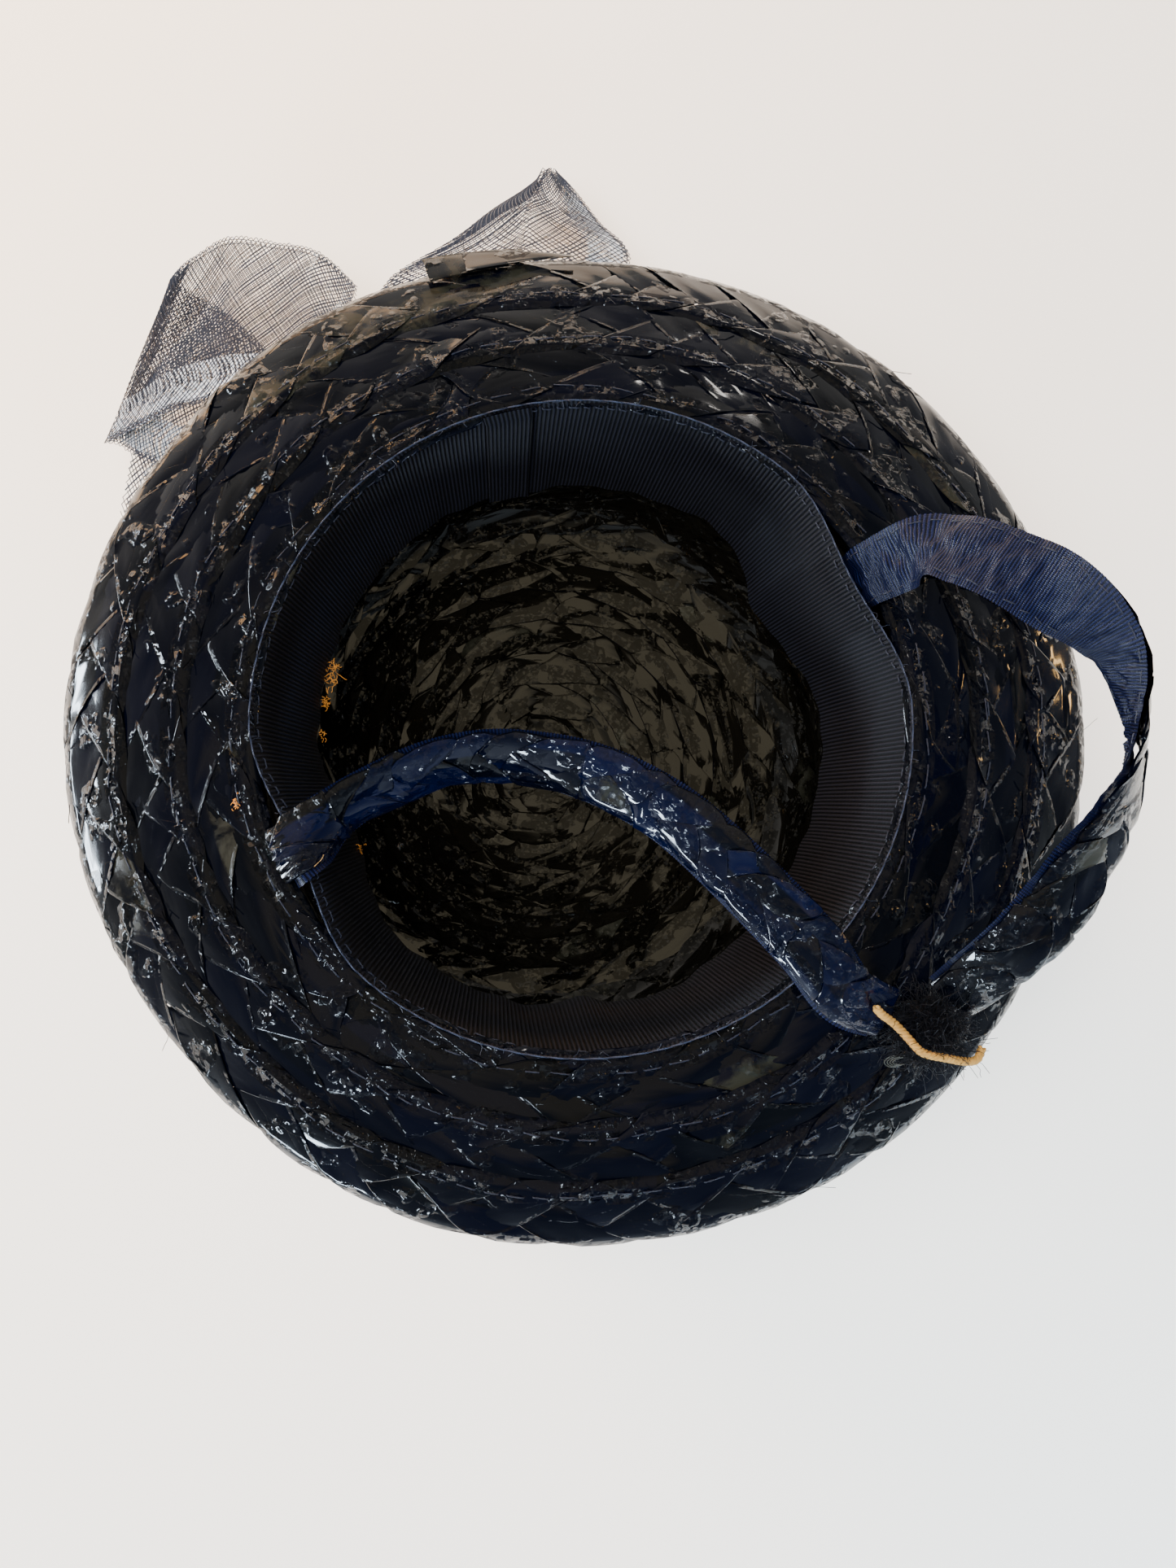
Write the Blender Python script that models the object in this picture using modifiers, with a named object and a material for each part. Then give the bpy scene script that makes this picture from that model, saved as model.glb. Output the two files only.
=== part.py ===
# Small tilt hat of lapped, lacquered straw plait, lying crown down with its hollow facing up.
# The origin is the middle of the crown's tip, on the surface that the hat lies on.
# +Z is up and out of the hollow. Sizes are in metres and degrees.

import math

import bmesh
import bpy
from mathutils import Vector

# Crown and brim
opening_radius = 0.0672  # to the sweatband's top edge
crown_depth = 0.075  # from the tip to the brim's upper face at the opening
wall = 0.0016  # one lapped thickness of plait
tip_flat_radius = 0.052
crown_pitch = 0.0086  # width that shows of each plait row in the crown
row_step = 0.0009  # height of one row's edge over its neighbour
brim_width = 0.0425
brim_rows = 3
brim_slope_in = 4.0  # fall of the brim beside the opening
brim_slope_out = 25.0  # fall at its outer edge
brim_wave = 0.0014  # rise and fall along the outer edge
brim_waves = 3  # round the hat
brim_wave_start = 40.0
lean_across = 0.013  # the opening's middle, to the side of the tip's middle
lean_up = 0.009
tilt_across = 3.5  # fall of the brim's plane towards +X
tilt_up = 8.0  # fall of the brim's plane towards +Y

# Sweatband
band_width = 0.0265
band_wall = 0.001
band_lean = 22.0  # how far the band's free edge leans into the hollow
lap_turn = 8.0  # stretch round the hat over which the ribbon's ends lap
lap_azimuth = 104.5
lap_gap = 0.00045  # between the ribbon's start and its lapped end
inset_turn = 25.0  # stretch each way over which the band stands in from the crown beside a strap's end

# Strap
strap_width = 0.0135
strap_straw = 0.0016
strap_ribbon = 0.001
strap_camber = 0.0004
strap_lay = 0.0006  # between the plait and its ribbon lining
strap_tuck = 0.0085  # length of each end between the sweatband and the crown
strap_room = 0.0010  # beside each face of an end, because the strap is flat and the crown is round
strap_bend = 48.0  # elevation that an end's ribbon side faces where it bends over the opening's edge
long_azimuth = -155.0  # where each half of the strap leaves the opening's edge
short_azimuth = 27.0

# Width of each end from its tucked edge to its bend, as shares of strap_width
exit_widths = [0.84, 0.86, 0.88, 0.90]

# Tie between the strap's two halves
tuft_length = 0.0085
tuft_breadth = 0.0075
tuft_height = 0.0034
thread_radius = 0.0010

# End of the outermost plait row
end_azimuth = 100.0
end_turn = 14.0  # stretch round the hat that shows over the row below
end_width = 0.0080
end_wall = 0.0012
end_overhang = 0.0032

# Net trim outside the crown
crin_reach = 0.065
crin_wall = 0.001
knot_radius = 0.0070
knot_azimuth = 125.0
knot_rise = 0.42  # height as a share of crown_depth
knot_depth = 0.62  # half its depth from the crown outwards, as a share of knot_radius

seat_gap = 0.0003  # between pieces that touch on the real hat
turn_steps = 44

# Brim width round the hat: azimuth, width as a share of brim_width
brim_shares = [
    (0.0, 1.01),
    (45.0, 0.94),
    (90.0, 0.92),
    (135.0, 0.98),
    (180.0, 1.02),
    (225.0, 0.95),
    (270.0, 0.95),
    (315.0, 1.00),
]

# Sweatband round the hat: azimuth, lean as a share of band_lean
band_shares = [
    (0.0, 1.05),
    (90.0, 1.00),
    (180.0, 1.20),
    (270.0, 0.75),
]

# Long half of the strap, from inside the hollow to the tie, straw side up.
# azimuth, distance as a share of the brim's radius, rise over the brim's plane as a share of crown_depth,
# azimuth and elevation that the ribbon side faces, width as a share of strap_width
long_route = [
    (-159.0, 0.47, 0.01, 80.0, -42.0, 0.92),
    (-161.0, 0.37, 0.02, 84.0, -42.0, 0.94),
    (-162.0, 0.28, 0.04, 92.0, -42.0, 0.96),
    (-157.0, 0.19, 0.06, 84.0, -46.0, 1.00),
    (-138.0, 0.12, 0.08, 76.0, -50.0, 1.00),
    (-90.0, 0.10, 0.10, 70.0, -56.0, 1.00),
    (-58.0, 0.16, 0.11, 62.0, -60.0, 1.00),
    (-48.0, 0.26, 0.12, 55.0, -64.0, 1.00),
    (-46.0, 0.41, 0.13, 50.0, -68.0, 1.00),
    (-46.0, 0.57, 0.10, 42.0, -74.0, 0.98),
    (-47.0, 0.68, 0.05, 40.0, -80.0, 0.92),
]

# Where each half meets the tie: azimuth and elevation that the ribbon side faces, width share
long_end = (40.0, -84.0, 0.80)
short_end = (140.0, -84.0, 0.84)

# Short half, from the opening's edge round past the brim to the tie. It turns over halfway.
short_route = [
    (26.0, 0.68, 0.19, 60.0, 80.0, 1.00),
    (23.0, 0.72, 0.28, 60.0, 84.0, 1.04),
    (18.0, 0.77, 0.35, 120.0, 84.0, 1.06),
    (14.0, 0.815, 0.39, 215.0, 68.0, 1.04),
    (10.5, 0.855, 0.41, 212.0, 40.0, 1.00),
    (6.0, 0.895, 0.405, 200.0, 18.0, 0.94),
    (1.0, 0.915, 0.37, 190.0, -2.0, 0.85),
    (-3.0, 0.925, 0.35, 182.0, -20.0, 0.88),
    (-8.0, 0.925, 0.31, 176.0, -42.0, 0.97),
    (-13.0, 0.91, 0.27, 170.0, -54.0, 1.02),
    (-18.0, 0.89, 0.23, 165.0, -66.0, 1.06),
    (-22.0, 0.88, 0.20, 160.0, -76.0, 1.04),
    (-28.0, 0.86, 0.15, 150.0, -80.0, 1.00),
]

tie_azimuth = -43.0
tie_distance = 0.835  # share of the brim's radius
tie_turn = 8.0  # azimuth of the tuft's length

# Thread over the tie: along and across as shares of tuft_length and tuft_breadth,
# and height over the tuft's middle as a share of tuft_height
thread_route = [
    (-1.26, 0.84, 1.62),
    (-1.10, 0.62, 1.42),
    (-0.88, 0.40, 1.20),
    (-0.72, 0.18, 1.14),
    (-0.52, -0.18, 1.30),
    (-0.29, -0.50, 1.28),
    (0.22, -0.72, 1.12),
    (0.76, -0.92, 0.64),
    (1.06, -0.92, 0.44),
    (1.24, -0.66, 0.40),
]

# Where each loop of the net trim leaves the knot: sideways and up as shares of knot_radius.
# Sideways is anticlockwise seen from above.
crin_left_root = [(0.43, 0.14), (-0.14, 0.36)]
crin_lower_root = [(0.71, -0.36), (0.36, -0.43)]
crin_right_root = [(-0.31, -0.31), (-0.54, 0.06), (-0.71, -0.36)]

# Rows of edge points of each loop, outwards and sideways from the knot as shares of crin_reach,
# and height as a share of crown_depth
crin_left_rows = [
    ((0.38, 0.42, 0.31), (0.56, 0.02, 0.34)),
    ((0.62, 0.62, 0.23), (0.92, 0.08, 0.27)),
    ((0.82, 0.72, 0.18), (1.16, 0.18, 0.23)),
    ((0.83, 0.73, 0.23), (1.17, 0.18, 0.28)),
    ((0.72, 0.40, 0.32), (1.14, -0.08, 0.32)),
    ((0.56, 0.10, 0.38), (0.90, -0.32, 0.35)),
    ((0.42, -0.10, 0.42), (0.68, -0.38, 0.38)),
]

crin_lower_rows = [
    ((0.20, 0.60, 0.22), (0.44, 0.42, 0.21)),
    ((0.38, 0.94, 0.14), (0.68, 0.62, 0.13)),
    ((0.48, 1.06, 0.10), (0.81, 0.70, 0.10)),
]

# The right loop is a folded point: left edge, crease and right edge of each row.
crin_right_rows = [
    ((0.42, -0.26, 0.34), (0.30, -0.50, 0.43), (0.14, -0.66, 0.36)),
    ((0.66, -0.48, 0.29), (0.42, -0.94, 0.36), (0.20, -1.26, 0.25)),
    ((0.67, -0.88, 0.26), (0.58, -1.10, 0.31), (0.42, -1.31, 0.22)),
    ((0.71, -1.22, 0.21), (0.71, -1.26, 0.23), (0.67, -1.29, 0.20)),
]

brim_inner = opening_radius + band_wall + seat_gap
brim_radius = brim_inner + brim_width
brim_pitch = brim_width / brim_rows
wall_radius = brim_inner + row_step + wall  # outer face of the crown's side
strap_thick = strap_straw + strap_ribbon + strap_lay
inset_depth = strap_thick + strap_room * 1.5
slope_across = math.tan(math.radians(tilt_across))
slope_up = math.tan(math.radians(tilt_up))


def shares_at(table, azimuth):
    """Share at an azimuth, turning smoothly between the rows of a table round the hat."""
    rows = table + [(table[0][0] + 360.0, table[0][1])]
    azimuth = azimuth % 360.0
    for (start, low), (end, high) in zip(rows, rows[1:]):
        if start <= azimuth <= end:
            turn = 0.5 - 0.5 * math.cos(math.pi * (azimuth - start) / (end - start))
            return low + (high - low) * turn
    return rows[0][1]


def brim_base(along):
    """Distance out and fall of the brim's curve, at a length along it from the opening."""
    steps = 12
    out, fall = 0.0, 0.0
    for i in range(steps):
        share = (i + 0.5) / steps * along / brim_width
        slope = math.radians(brim_slope_in + (brim_slope_out - brim_slope_in) * share)
        out += math.cos(slope) * along / steps
        fall += math.sin(slope) * along / steps
    return out, fall


def brim_under(along):
    """Radius and height of the brim's lower face, with the sawtooth of its lapped rows."""
    row = min(brim_rows - 1, int(along / brim_pitch))
    out, fall = brim_base(along)
    rise = row_step * (1.0 - (along - row * brim_pitch) / brim_pitch)
    return brim_inner + out, crown_depth - wall - row_step - fall + rise


crown_edge = brim_under(wall_radius - brim_inner)[1] - row_step / 4 - seat_gap


def lean(point, over_brim=False):
    """Moves a point of the upright hat to its place on the leaning one. The tip stays flat."""
    share = 1.0 if over_brim else max(0.0, min(1.0, point.z / crown_edge))
    fall = share * (point.x * slope_across + point.y * slope_up)
    return Vector((point.x + share * lean_across, point.y + share * lean_up, point.z - fall))


def polar(azimuth, radius, height):
    turn = math.radians(azimuth)
    return Vector((radius * math.cos(turn), radius * math.sin(turn), height))


def brim_rise(azimuth, out):
    """Rise of the wavy brim at a distance out from the opening."""
    turn = math.radians(brim_waves * azimuth + brim_wave_start)
    return brim_wave * (out / brim_width) ** 2 * math.sin(turn)


def brim_place(point):
    """A point of the round, level brim in its place: its width, waves and tilt follow the azimuth."""
    azimuth = math.degrees(math.atan2(point.y, point.x))
    out = (math.hypot(point.x, point.y) - brim_inner) * shares_at(brim_shares, azimuth)
    height = point.z + brim_rise(azimuth, out)
    return lean(polar(azimuth, brim_inner + out, height), over_brim=True)


def band_inset(azimuth):
    """How far the band stands in from the crown to let a strap's end down behind it."""
    inset = 0.0
    for middle in (long_azimuth, short_azimuth):
        away = abs((azimuth - middle + 180.0) % 360.0 - 180.0) / inset_turn
        if away < 1.0:
            inset = inset_depth * (0.5 + 0.5 * math.cos(math.pi * away))
    return inset


def band_place(point):
    """A point of the upright band in its place, leaned in by an amount that changes round the hat."""
    azimuth = math.degrees(math.atan2(point.y, point.x))
    radius = math.hypot(point.x, point.y) - band_inset(azimuth)
    drop = crown_depth - point.z
    turn = math.radians(band_lean * shares_at(band_shares, azimuth))
    radius -= drop * math.sin(turn)
    return lean(polar(azimuth, radius, crown_depth - drop * math.cos(turn)))


def make_material(name, colour, roughness):
    material = bpy.data.materials.new(name)
    material.use_nodes = True
    shader = material.node_tree.nodes["Principled BSDF"]
    shader.inputs["Base Color"].default_value = (*colour, 1.0)
    shader.inputs["Roughness"].default_value = roughness
    shader.inputs["Metallic"].default_value = 0.0
    return material


def add_object(name, mesh, material, smooth_angle=None):
    mesh.name = name
    mesh.materials.clear()
    mesh.materials.append(material)
    if smooth_angle:
        mesh.shade_smooth()
        mesh.set_sharp_from_angle(angle=math.radians(smooth_angle))
    part = bpy.data.objects.new(name, mesh)
    hat.objects.link(part)
    return part


def baked(name, part):
    """The evaluated mesh of a guide object, which is then removed."""
    bpy.context.view_layer.update()
    depsgraph = bpy.context.evaluated_depsgraph_get()
    mesh = bpy.data.meshes.new_from_object(part.evaluated_get(depsgraph))
    mesh.name = name
    bpy.data.objects.remove(part)
    return mesh


def turned(name, section, closed, place, material):
    """A section of (radius, height) points turned round the axis, each point then moved to its place."""
    edges = [(i, i + 1) for i in range(len(section) - 1)]
    if closed:
        edges.append((len(section) - 1, 0))
    profile = bpy.data.meshes.new(name + "_profile")
    profile.from_pydata([(radius, 0.0, height) for radius, height in section], edges, [])
    guide = bpy.data.objects.new(name + "_profile", profile)
    hat.objects.link(guide)
    screw = guide.modifiers.new("turn", "SCREW")
    screw.axis = "Z"
    screw.angle = math.tau
    screw.steps = turn_steps
    screw.render_steps = turn_steps
    screw.use_merge_vertices = True
    screw.merge_threshold = 0.00001
    mesh = baked(name, guide)
    for vertex in mesh.vertices:
        vertex.co = place(vertex.co.copy())
    return add_object(name, mesh, material, smooth_angle=35.0)


def sheet(name, rows, thickness, material):
    """A wall of one thickness along a grid of points: each row is a list of points across it."""
    across = len(rows[0])
    grid = bmesh.new()
    bmesh.ops.create_grid(grid, x_segments=across - 1, y_segments=len(rows) - 1, size=1.0)
    grid.verts.ensure_lookup_table()
    order = sorted(grid.verts, key=lambda vertex: (round(vertex.co.y, 5), vertex.co.x))
    for i, vertex in enumerate(order):
        vertex.co = rows[i // across][i % across]
    mesh = bpy.data.meshes.new(name)
    grid.to_mesh(mesh)
    grid.free()
    part = add_object(name, mesh, material, smooth_angle=35.0)
    shell = part.modifiers.new("wall", "SOLIDIFY")
    shell.thickness = thickness
    shell.offset = 0.0
    return part


def spline_points(points, per_span):
    """Points on a smooth curve through the given vectors, the given ones included."""
    ends = [2 * points[0] - points[1]] + points + [2 * points[-1] - points[-2]]
    found = []
    for i in range(1, len(ends) - 2):
        before, start, end, after = ends[i - 1 : i + 3]
        for step in range(per_span):
            t = step / per_span
            found.append(
                0.5
                * (
                    2 * start
                    + (end - before) * t
                    + (2 * before - 5 * start + 4 * end - after) * t * t
                    + (3 * start - before - 3 * end + after) * t**3
                )
            )
    return found + [points[-1]]


def facing(azimuth, elevation):
    return polar(azimuth, math.cos(math.radians(elevation)), math.sin(math.radians(elevation)))


def over_hat(azimuth, distance, rise):
    """A point over the hat: its distance is a share of the brim's radius, its rise one of crown_depth."""
    return lean(polar(azimuth, distance * brim_radius, crown_depth * (1.0 + rise)), over_brim=True)


def strap_stations(stations, per_span):
    """Places, ribbon-side directions and widths along the strap, smoothed from its chosen stations."""
    places = spline_points([station[0] for station in stations], per_span)
    facings = spline_points([station[1] for station in stations], per_span)
    widths = spline_points([Vector((station[2], 0.0)) for station in stations], per_span)
    found = []
    for i, place in enumerate(places):
        ahead = places[min(i + 1, len(places) - 1)] - places[max(i - 1, 0)]
        side = ahead.cross(facings[i]).normalized()
        found.append((place, side.cross(ahead).normalized(), side, widths[i].x * strap_width))
    return found


def strap_layer(name, stations, lift, thickness, material):
    """One layer of the strap, lifted towards its ribbon side."""
    rows = []
    for place, outward, side, width in stations:
        rows.append(
            [
                place + side * (share * width / 2) + outward * (lift - strap_camber * (1 - abs(share)))
                for share in (-1.0, 0.0, 1.0)
            ]
        )
    return sheet(name, rows, thickness, material)


def oval(name, centre, along, across, up, radii, material):
    """A closed rounded lump with its own axes and half sizes."""
    lump = bmesh.new()
    bmesh.ops.create_uvsphere(lump, u_segments=12, v_segments=8, radius=1.0)
    for vertex in lump.verts:
        x, y, z = vertex.co
        vertex.co = centre + along * (x * radii[0]) + across * (y * radii[1]) + up * (z * radii[2])
    mesh = bpy.data.meshes.new(name)
    lump.to_mesh(mesh)
    lump.free()
    return add_object(name, mesh, material, smooth_angle=60.0)


def crown_curve(length):
    """Outer face of the crown at a length from the tip's middle: its point and inward normal."""
    corner = wall_radius - tip_flat_radius
    if length <= tip_flat_radius:
        return (length, 0.0), (0.0, 1.0)
    turn = (length - tip_flat_radius) / corner
    if turn <= math.pi / 2:
        place = (tip_flat_radius + corner * math.sin(turn), corner * (1.0 - math.cos(turn)))
        return place, (-math.sin(turn), math.cos(turn))
    return (wall_radius, corner + length - tip_flat_radius - corner * math.pi / 2), (-1.0, 0.0)


def make_crown():
    """Tip and side wall in one, each row stepping over the one nearer the tip on the hollow's side."""
    corner = wall_radius - tip_flat_radius
    length = tip_flat_radius + corner * math.pi / 2 + crown_edge - corner
    rows = max(3, round(length / crown_pitch))
    pitch = length / rows
    stations = [(0.0, 0.0), (pitch, 0.0)]
    for row in range(1, rows):
        stations += [(row * pitch, row_step), ((row + 1) * pitch, 0.0)]
    outer, inner = [], []
    for along, rise in stations:
        (radius, height), (inwards, upwards) = crown_curve(along)
        outer.append((radius + inwards * rise, height + upwards * rise))
        inner.append((radius + inwards * (rise + wall), height + upwards * (rise + wall)))
    turned("crown", inner + outer[::-1], False, lean, straw)


def make_brim():
    """Lapped rows from the opening outwards, each row's inner edge standing over the row before it."""
    base = crown_depth - wall - row_step
    under = []
    for row in range(brim_rows):
        start_out, start_fall = brim_base(row * brim_pitch)
        end_out, end_fall = brim_base((row + 1) * brim_pitch)
        under.append((brim_inner + start_out, base - start_fall + row_step))
        under.append((brim_inner + end_out, base - end_fall))
    upper = [(radius, height + wall) for radius, height in under]
    turned("brim", upper + under[::-1], True, brim_place, straw)


def make_sweatband():
    """Ribbed ribbon inside the opening, held at its top edge, with its free edge leaning in."""
    steps = 4
    drops = [band_width * i / steps for i in range(steps + 1)]
    inner = [(opening_radius, crown_depth - drop) for drop in drops]
    outer = [(opening_radius + band_wall, crown_depth - drop) for drop in drops]
    turned("sweatband", outer + inner[::-1], True, band_place, ribbon)


def make_band_lap():
    """The ribbon's own end, lapped over its start on the hollow's side."""
    radius = opening_radius - lap_gap - band_wall / 2
    steps = 4
    heights = [crown_depth - band_width * i / steps for i in range(steps + 1)]
    rows = []
    for step in range(steps + 1):
        azimuth = lap_azimuth + lap_turn * (step / steps - 0.5)
        rows.append([band_place(polar(azimuth, radius, height)) for height in heights])
    sheet("sweatband_lap", rows, band_wall, ribbon)


def make_braid_end():
    """Cut end of the outermost plait row, lapped over the brim and a little past its edge."""
    fall = math.radians(brim_slope_out)
    steps = 4
    rows = []
    for step in range(steps + 1):
        azimuth = end_azimuth + end_turn * (step / steps - 0.5)
        row = []
        for part in range(steps + 1):
            along = brim_width - end_width + part / steps * (end_width + end_overhang)
            radius, height = brim_under(min(along, brim_width))
            past = max(0.0, along - brim_width)
            radius += past * math.cos(fall)
            height += wall + seat_gap + end_wall / 2 - past * math.sin(fall)
            row.append(brim_place(polar(azimuth, radius, height)))
        rows.append(row)
    sheet("braid_end", rows, end_wall, straw)


def brim_top(azimuth, distance):
    """Height of the brim's upper face at a distance from the opening's middle, before its tilt."""
    out = distance - brim_inner
    level = brim_inner + out / shares_at(brim_shares, azimuth)
    along = 0.0
    while brim_under(along)[0] < level and along < brim_width:
        along += brim_width / 100
    return brim_under(along)[1] + wall + brim_rise(azimuth, out)


def tuft_frame():
    """Middle and axes of the tie's tuft, which rests on the brim."""
    distance = tie_distance * brim_radius
    spread = [share / 10 for share in range(-9, 10)]
    height = seat_gap + max(
        brim_top(tie_azimuth, distance + share * tuft_length) + tuft_height * math.sqrt(1 - share**2)
        for share in spread
    )
    centre = lean(polar(tie_azimuth, distance, height), over_brim=True)
    up = Vector((slope_across, slope_up, 1.0)).normalized()
    across = up.cross(polar(tie_turn, 1.0, 0.0)).normalized()
    return centre, across.cross(up), across, up


def make_tie():
    centre, along, across, up = tuft_frame()
    oval("tie_tuft", centre, along, across, up, (tuft_length, tuft_breadth, tuft_height), fibre)
    axes = (along * tuft_length, across * tuft_breadth, up * tuft_height)
    route = [centre + axes[0] * x + axes[1] * y + axes[2] * z for x, y, z in thread_route]
    points = spline_points(route, 3)
    curve = bpy.data.curves.new("tie_thread", "CURVE")
    curve.dimensions = "3D"
    curve.bevel_depth = thread_radius
    curve.bevel_resolution = 2
    curve.use_fill_caps = True
    spline = curve.splines.new("POLY")
    spline.points.add(len(points) - 1)
    for point, place in zip(spline.points, points):
        point.co = (*place, 1.0)
    curve.materials.append(cotton)
    hat.objects.link(bpy.data.objects.new("tie_thread", curve))


def tuft_edge(direction):
    """Point beside the tuft where a strap's end meets it, coming along the given direction."""
    centre, along, across, up = tuft_frame()
    flat = (direction - up * direction.dot(up)).normalized()
    reach = 1.0 / math.hypot(flat.dot(along) / tuft_length, flat.dot(across) / tuft_breadth)
    return centre - flat * (reach + seat_gap * 2)


def strap_exit(azimuth, turn):
    """Stations of a strap's end: up between the sweatband and the crown, then over towards its route.
    The ribbon side faces the band. The turn is 1 for a half that goes out over the brim, -1 inwards."""
    inwards = facing(azimuth + 180.0, 0.0)
    bent = facing(azimuth + 180.0, turn * strap_bend)
    low = crown_depth - strap_tuck
    middle = brim_inner - strap_room - strap_thick / 2
    places = [
        lean(polar(azimuth, middle, low)),
        lean(polar(azimuth, middle, (low + crown_depth) / 2)),
        lean(polar(azimuth, middle, crown_depth), True),
        lean(polar(azimuth, middle + turn * strap_thick / 2, crown_depth + strap_thick), True),
    ]
    return list(zip(places, [inwards, inwards, inwards, bent], exit_widths))


def make_strap(half, stations, route, end):
    """Both layers of one half of the strap: its tucked end, its route over the hat, its end at the tie."""
    for row in route:
        stations.append((over_hat(*row[:3]), facing(*row[3:5]), row[5]))
    edge = tuft_edge(tuft_frame()[0] - over_hat(*route[-1][:3]))
    stations.append((edge, facing(*end[:2]), end[2]))
    stations = strap_stations(stations, 3)
    strap_layer("strap_straw_" + half, stations, -(strap_straw + strap_lay) / 2, strap_straw, straw)
    strap_layer("strap_ribbon_" + half, stations, (strap_ribbon + strap_lay) / 2, strap_ribbon, ribbon)


def knot_frame():
    """Middle of the trim's knot beside the crown, with its outward and sideways directions."""
    distance = wall_radius + seat_gap + knot_radius * knot_depth
    outwards = facing(knot_azimuth, 0.0)
    centre = lean(polar(knot_azimuth, distance, knot_rise * crown_depth))
    return centre, outwards, Vector((-outwards.y, outwards.x, 0.0))


def crin_rows(root, table):
    """Points of a loop in their places, from the knot's surface outwards."""
    centre, outwards, sideways = knot_frame()
    up = Vector((0.0, 0.0, 1.0))
    first = []
    for side, rise in root:
        out = math.sqrt(1.0 - side**2 - rise**2)
        on_knot = (outwards * (out * knot_depth) + sideways * side + up * rise) * knot_radius
        away = (outwards * (out / knot_depth) + sideways * side + up * rise).normalized()
        first.append(centre + on_knot + away * (seat_gap + crin_wall / 2))
    base = Vector((centre.x, centre.y, 0.0))
    axes = (outwards * crin_reach, sideways * crin_reach, up * crown_depth)
    return [first] + [[base + axes[0] * x + axes[1] * y + axes[2] * z for x, y, z in row] for row in table]


def smoothed(rows, per_span):
    """More rows between the given ones, on smooth curves along the sheet."""
    columns = [spline_points(list(column), per_span) for column in zip(*rows)]
    return [list(row) for row in zip(*columns)]


def widened(rows, parts):
    """More points across each row."""
    found = []
    for row in rows:
        points = []
        for start, end in zip(row, row[1:]):
            points += [start.lerp(end, i / parts) for i in range(parts)]
        found.append(points + [row[-1]])
    return found


def make_trim():
    centre, outwards, sideways = knot_frame()
    up = Vector((0.0, 0.0, 1.0))
    radii = (knot_radius * knot_depth, knot_radius, knot_radius)
    oval("crin_knot", centre, outwards, sideways, up, radii, net)
    loops = {
        "left": (crin_left_root, crin_left_rows),
        "lower": (crin_lower_root, crin_lower_rows),
        "right": (crin_right_root, crin_right_rows),
    }
    for side, (root, table) in loops.items():
        rows = widened(smoothed(crin_rows(root, table), 3), 2)
        sheet("crin_loop_" + side, rows, crin_wall, net)


for old in list(bpy.data.objects):
    bpy.data.objects.remove(old)

hat = bpy.data.collections.new("tilt_hat")
bpy.context.scene.collection.children.link(hat)

straw = make_material("lacquered_straw", (0.008, 0.010, 0.020), 0.22)
ribbon = make_material("grosgrain", (0.014, 0.020, 0.055), 0.70)
cotton = make_material("cotton_thread", (0.62, 0.40, 0.12), 0.85)
fibre = make_material("frayed_fibre", (0.006, 0.007, 0.010), 0.90)
net = make_material("stiff_net", (0.20, 0.20, 0.21), 0.50)

make_crown()
make_brim()
make_sweatband()
make_band_lap()
make_braid_end()
make_strap("long", strap_exit(long_azimuth, -1.0), long_route, long_end)
make_strap("short", strap_exit(short_azimuth, 1.0), short_route, short_end)
make_tie()
make_trim()
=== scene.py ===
import bisect
import math
import random

import bmesh
import bpy
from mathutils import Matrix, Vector, noise


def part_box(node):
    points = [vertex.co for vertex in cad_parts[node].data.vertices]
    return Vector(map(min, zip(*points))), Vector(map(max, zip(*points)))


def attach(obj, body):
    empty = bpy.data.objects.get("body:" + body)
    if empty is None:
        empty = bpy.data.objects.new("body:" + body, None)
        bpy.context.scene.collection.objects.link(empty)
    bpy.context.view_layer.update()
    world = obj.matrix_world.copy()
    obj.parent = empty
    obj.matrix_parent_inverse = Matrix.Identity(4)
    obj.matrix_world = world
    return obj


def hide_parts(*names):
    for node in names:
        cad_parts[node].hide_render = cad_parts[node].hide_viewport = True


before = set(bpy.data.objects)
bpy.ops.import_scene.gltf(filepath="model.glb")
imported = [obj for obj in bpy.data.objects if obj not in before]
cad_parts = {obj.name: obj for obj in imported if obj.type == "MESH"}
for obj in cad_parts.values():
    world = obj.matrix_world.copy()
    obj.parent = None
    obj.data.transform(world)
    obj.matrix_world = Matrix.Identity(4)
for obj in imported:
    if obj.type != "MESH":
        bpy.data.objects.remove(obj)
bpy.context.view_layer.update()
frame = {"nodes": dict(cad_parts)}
print("frame loaded")

# The hat's own sizes, in metres and degrees, as the solids have them
hat = {
    "openingRadius": 0.0672,
    "crownDepth": 0.075,
    "wall": 0.0016,
    "tipFlatRadius": 0.052,
    "rowStep": 0.0009,
    "brimWidth": 0.0425,
    "slopeIn": 4.0,
    "slopeOut": 25.0,
    "wave": 0.0014,
    "waves": 3,
    "waveStart": 40.0,
    "leanAcross": 0.013,
    "leanUp": 0.009,
    "tiltAcross": 3.5,
    "tiltUp": 8.0,
    "bandWidth": 0.0265,
    "bandWall": 0.001,
    "bandLean": 22.0,
    "seatGap": 0.0003,
}
brimShares = [(45.0 * i, share) for i, share in enumerate((1.01, 0.94, 0.92, 0.98, 1.02, 0.95, 0.95, 1.00))]
bandShares = [(0.0, 1.05), (90.0, 1.00), (180.0, 1.20), (270.0, 0.75)]

brimInner = hat["openingRadius"] + hat["bandWall"] + hat["seatGap"]
brimRadius = brimInner + hat["brimWidth"]
wallRadius = brimInner + hat["rowStep"] + hat["wall"]
slopeAcross = math.tan(math.radians(hat["tiltAcross"]))
slopeUp = math.tan(math.radians(hat["tiltUp"]))


def clamped(value, high=1.0):
    return max(0.0, min(high, value))


def eased(part, whole=1.0):
    # from 0 to 1, level at both ends
    return 0.5 - 0.5 * math.cos(math.pi * part / whole)


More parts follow.
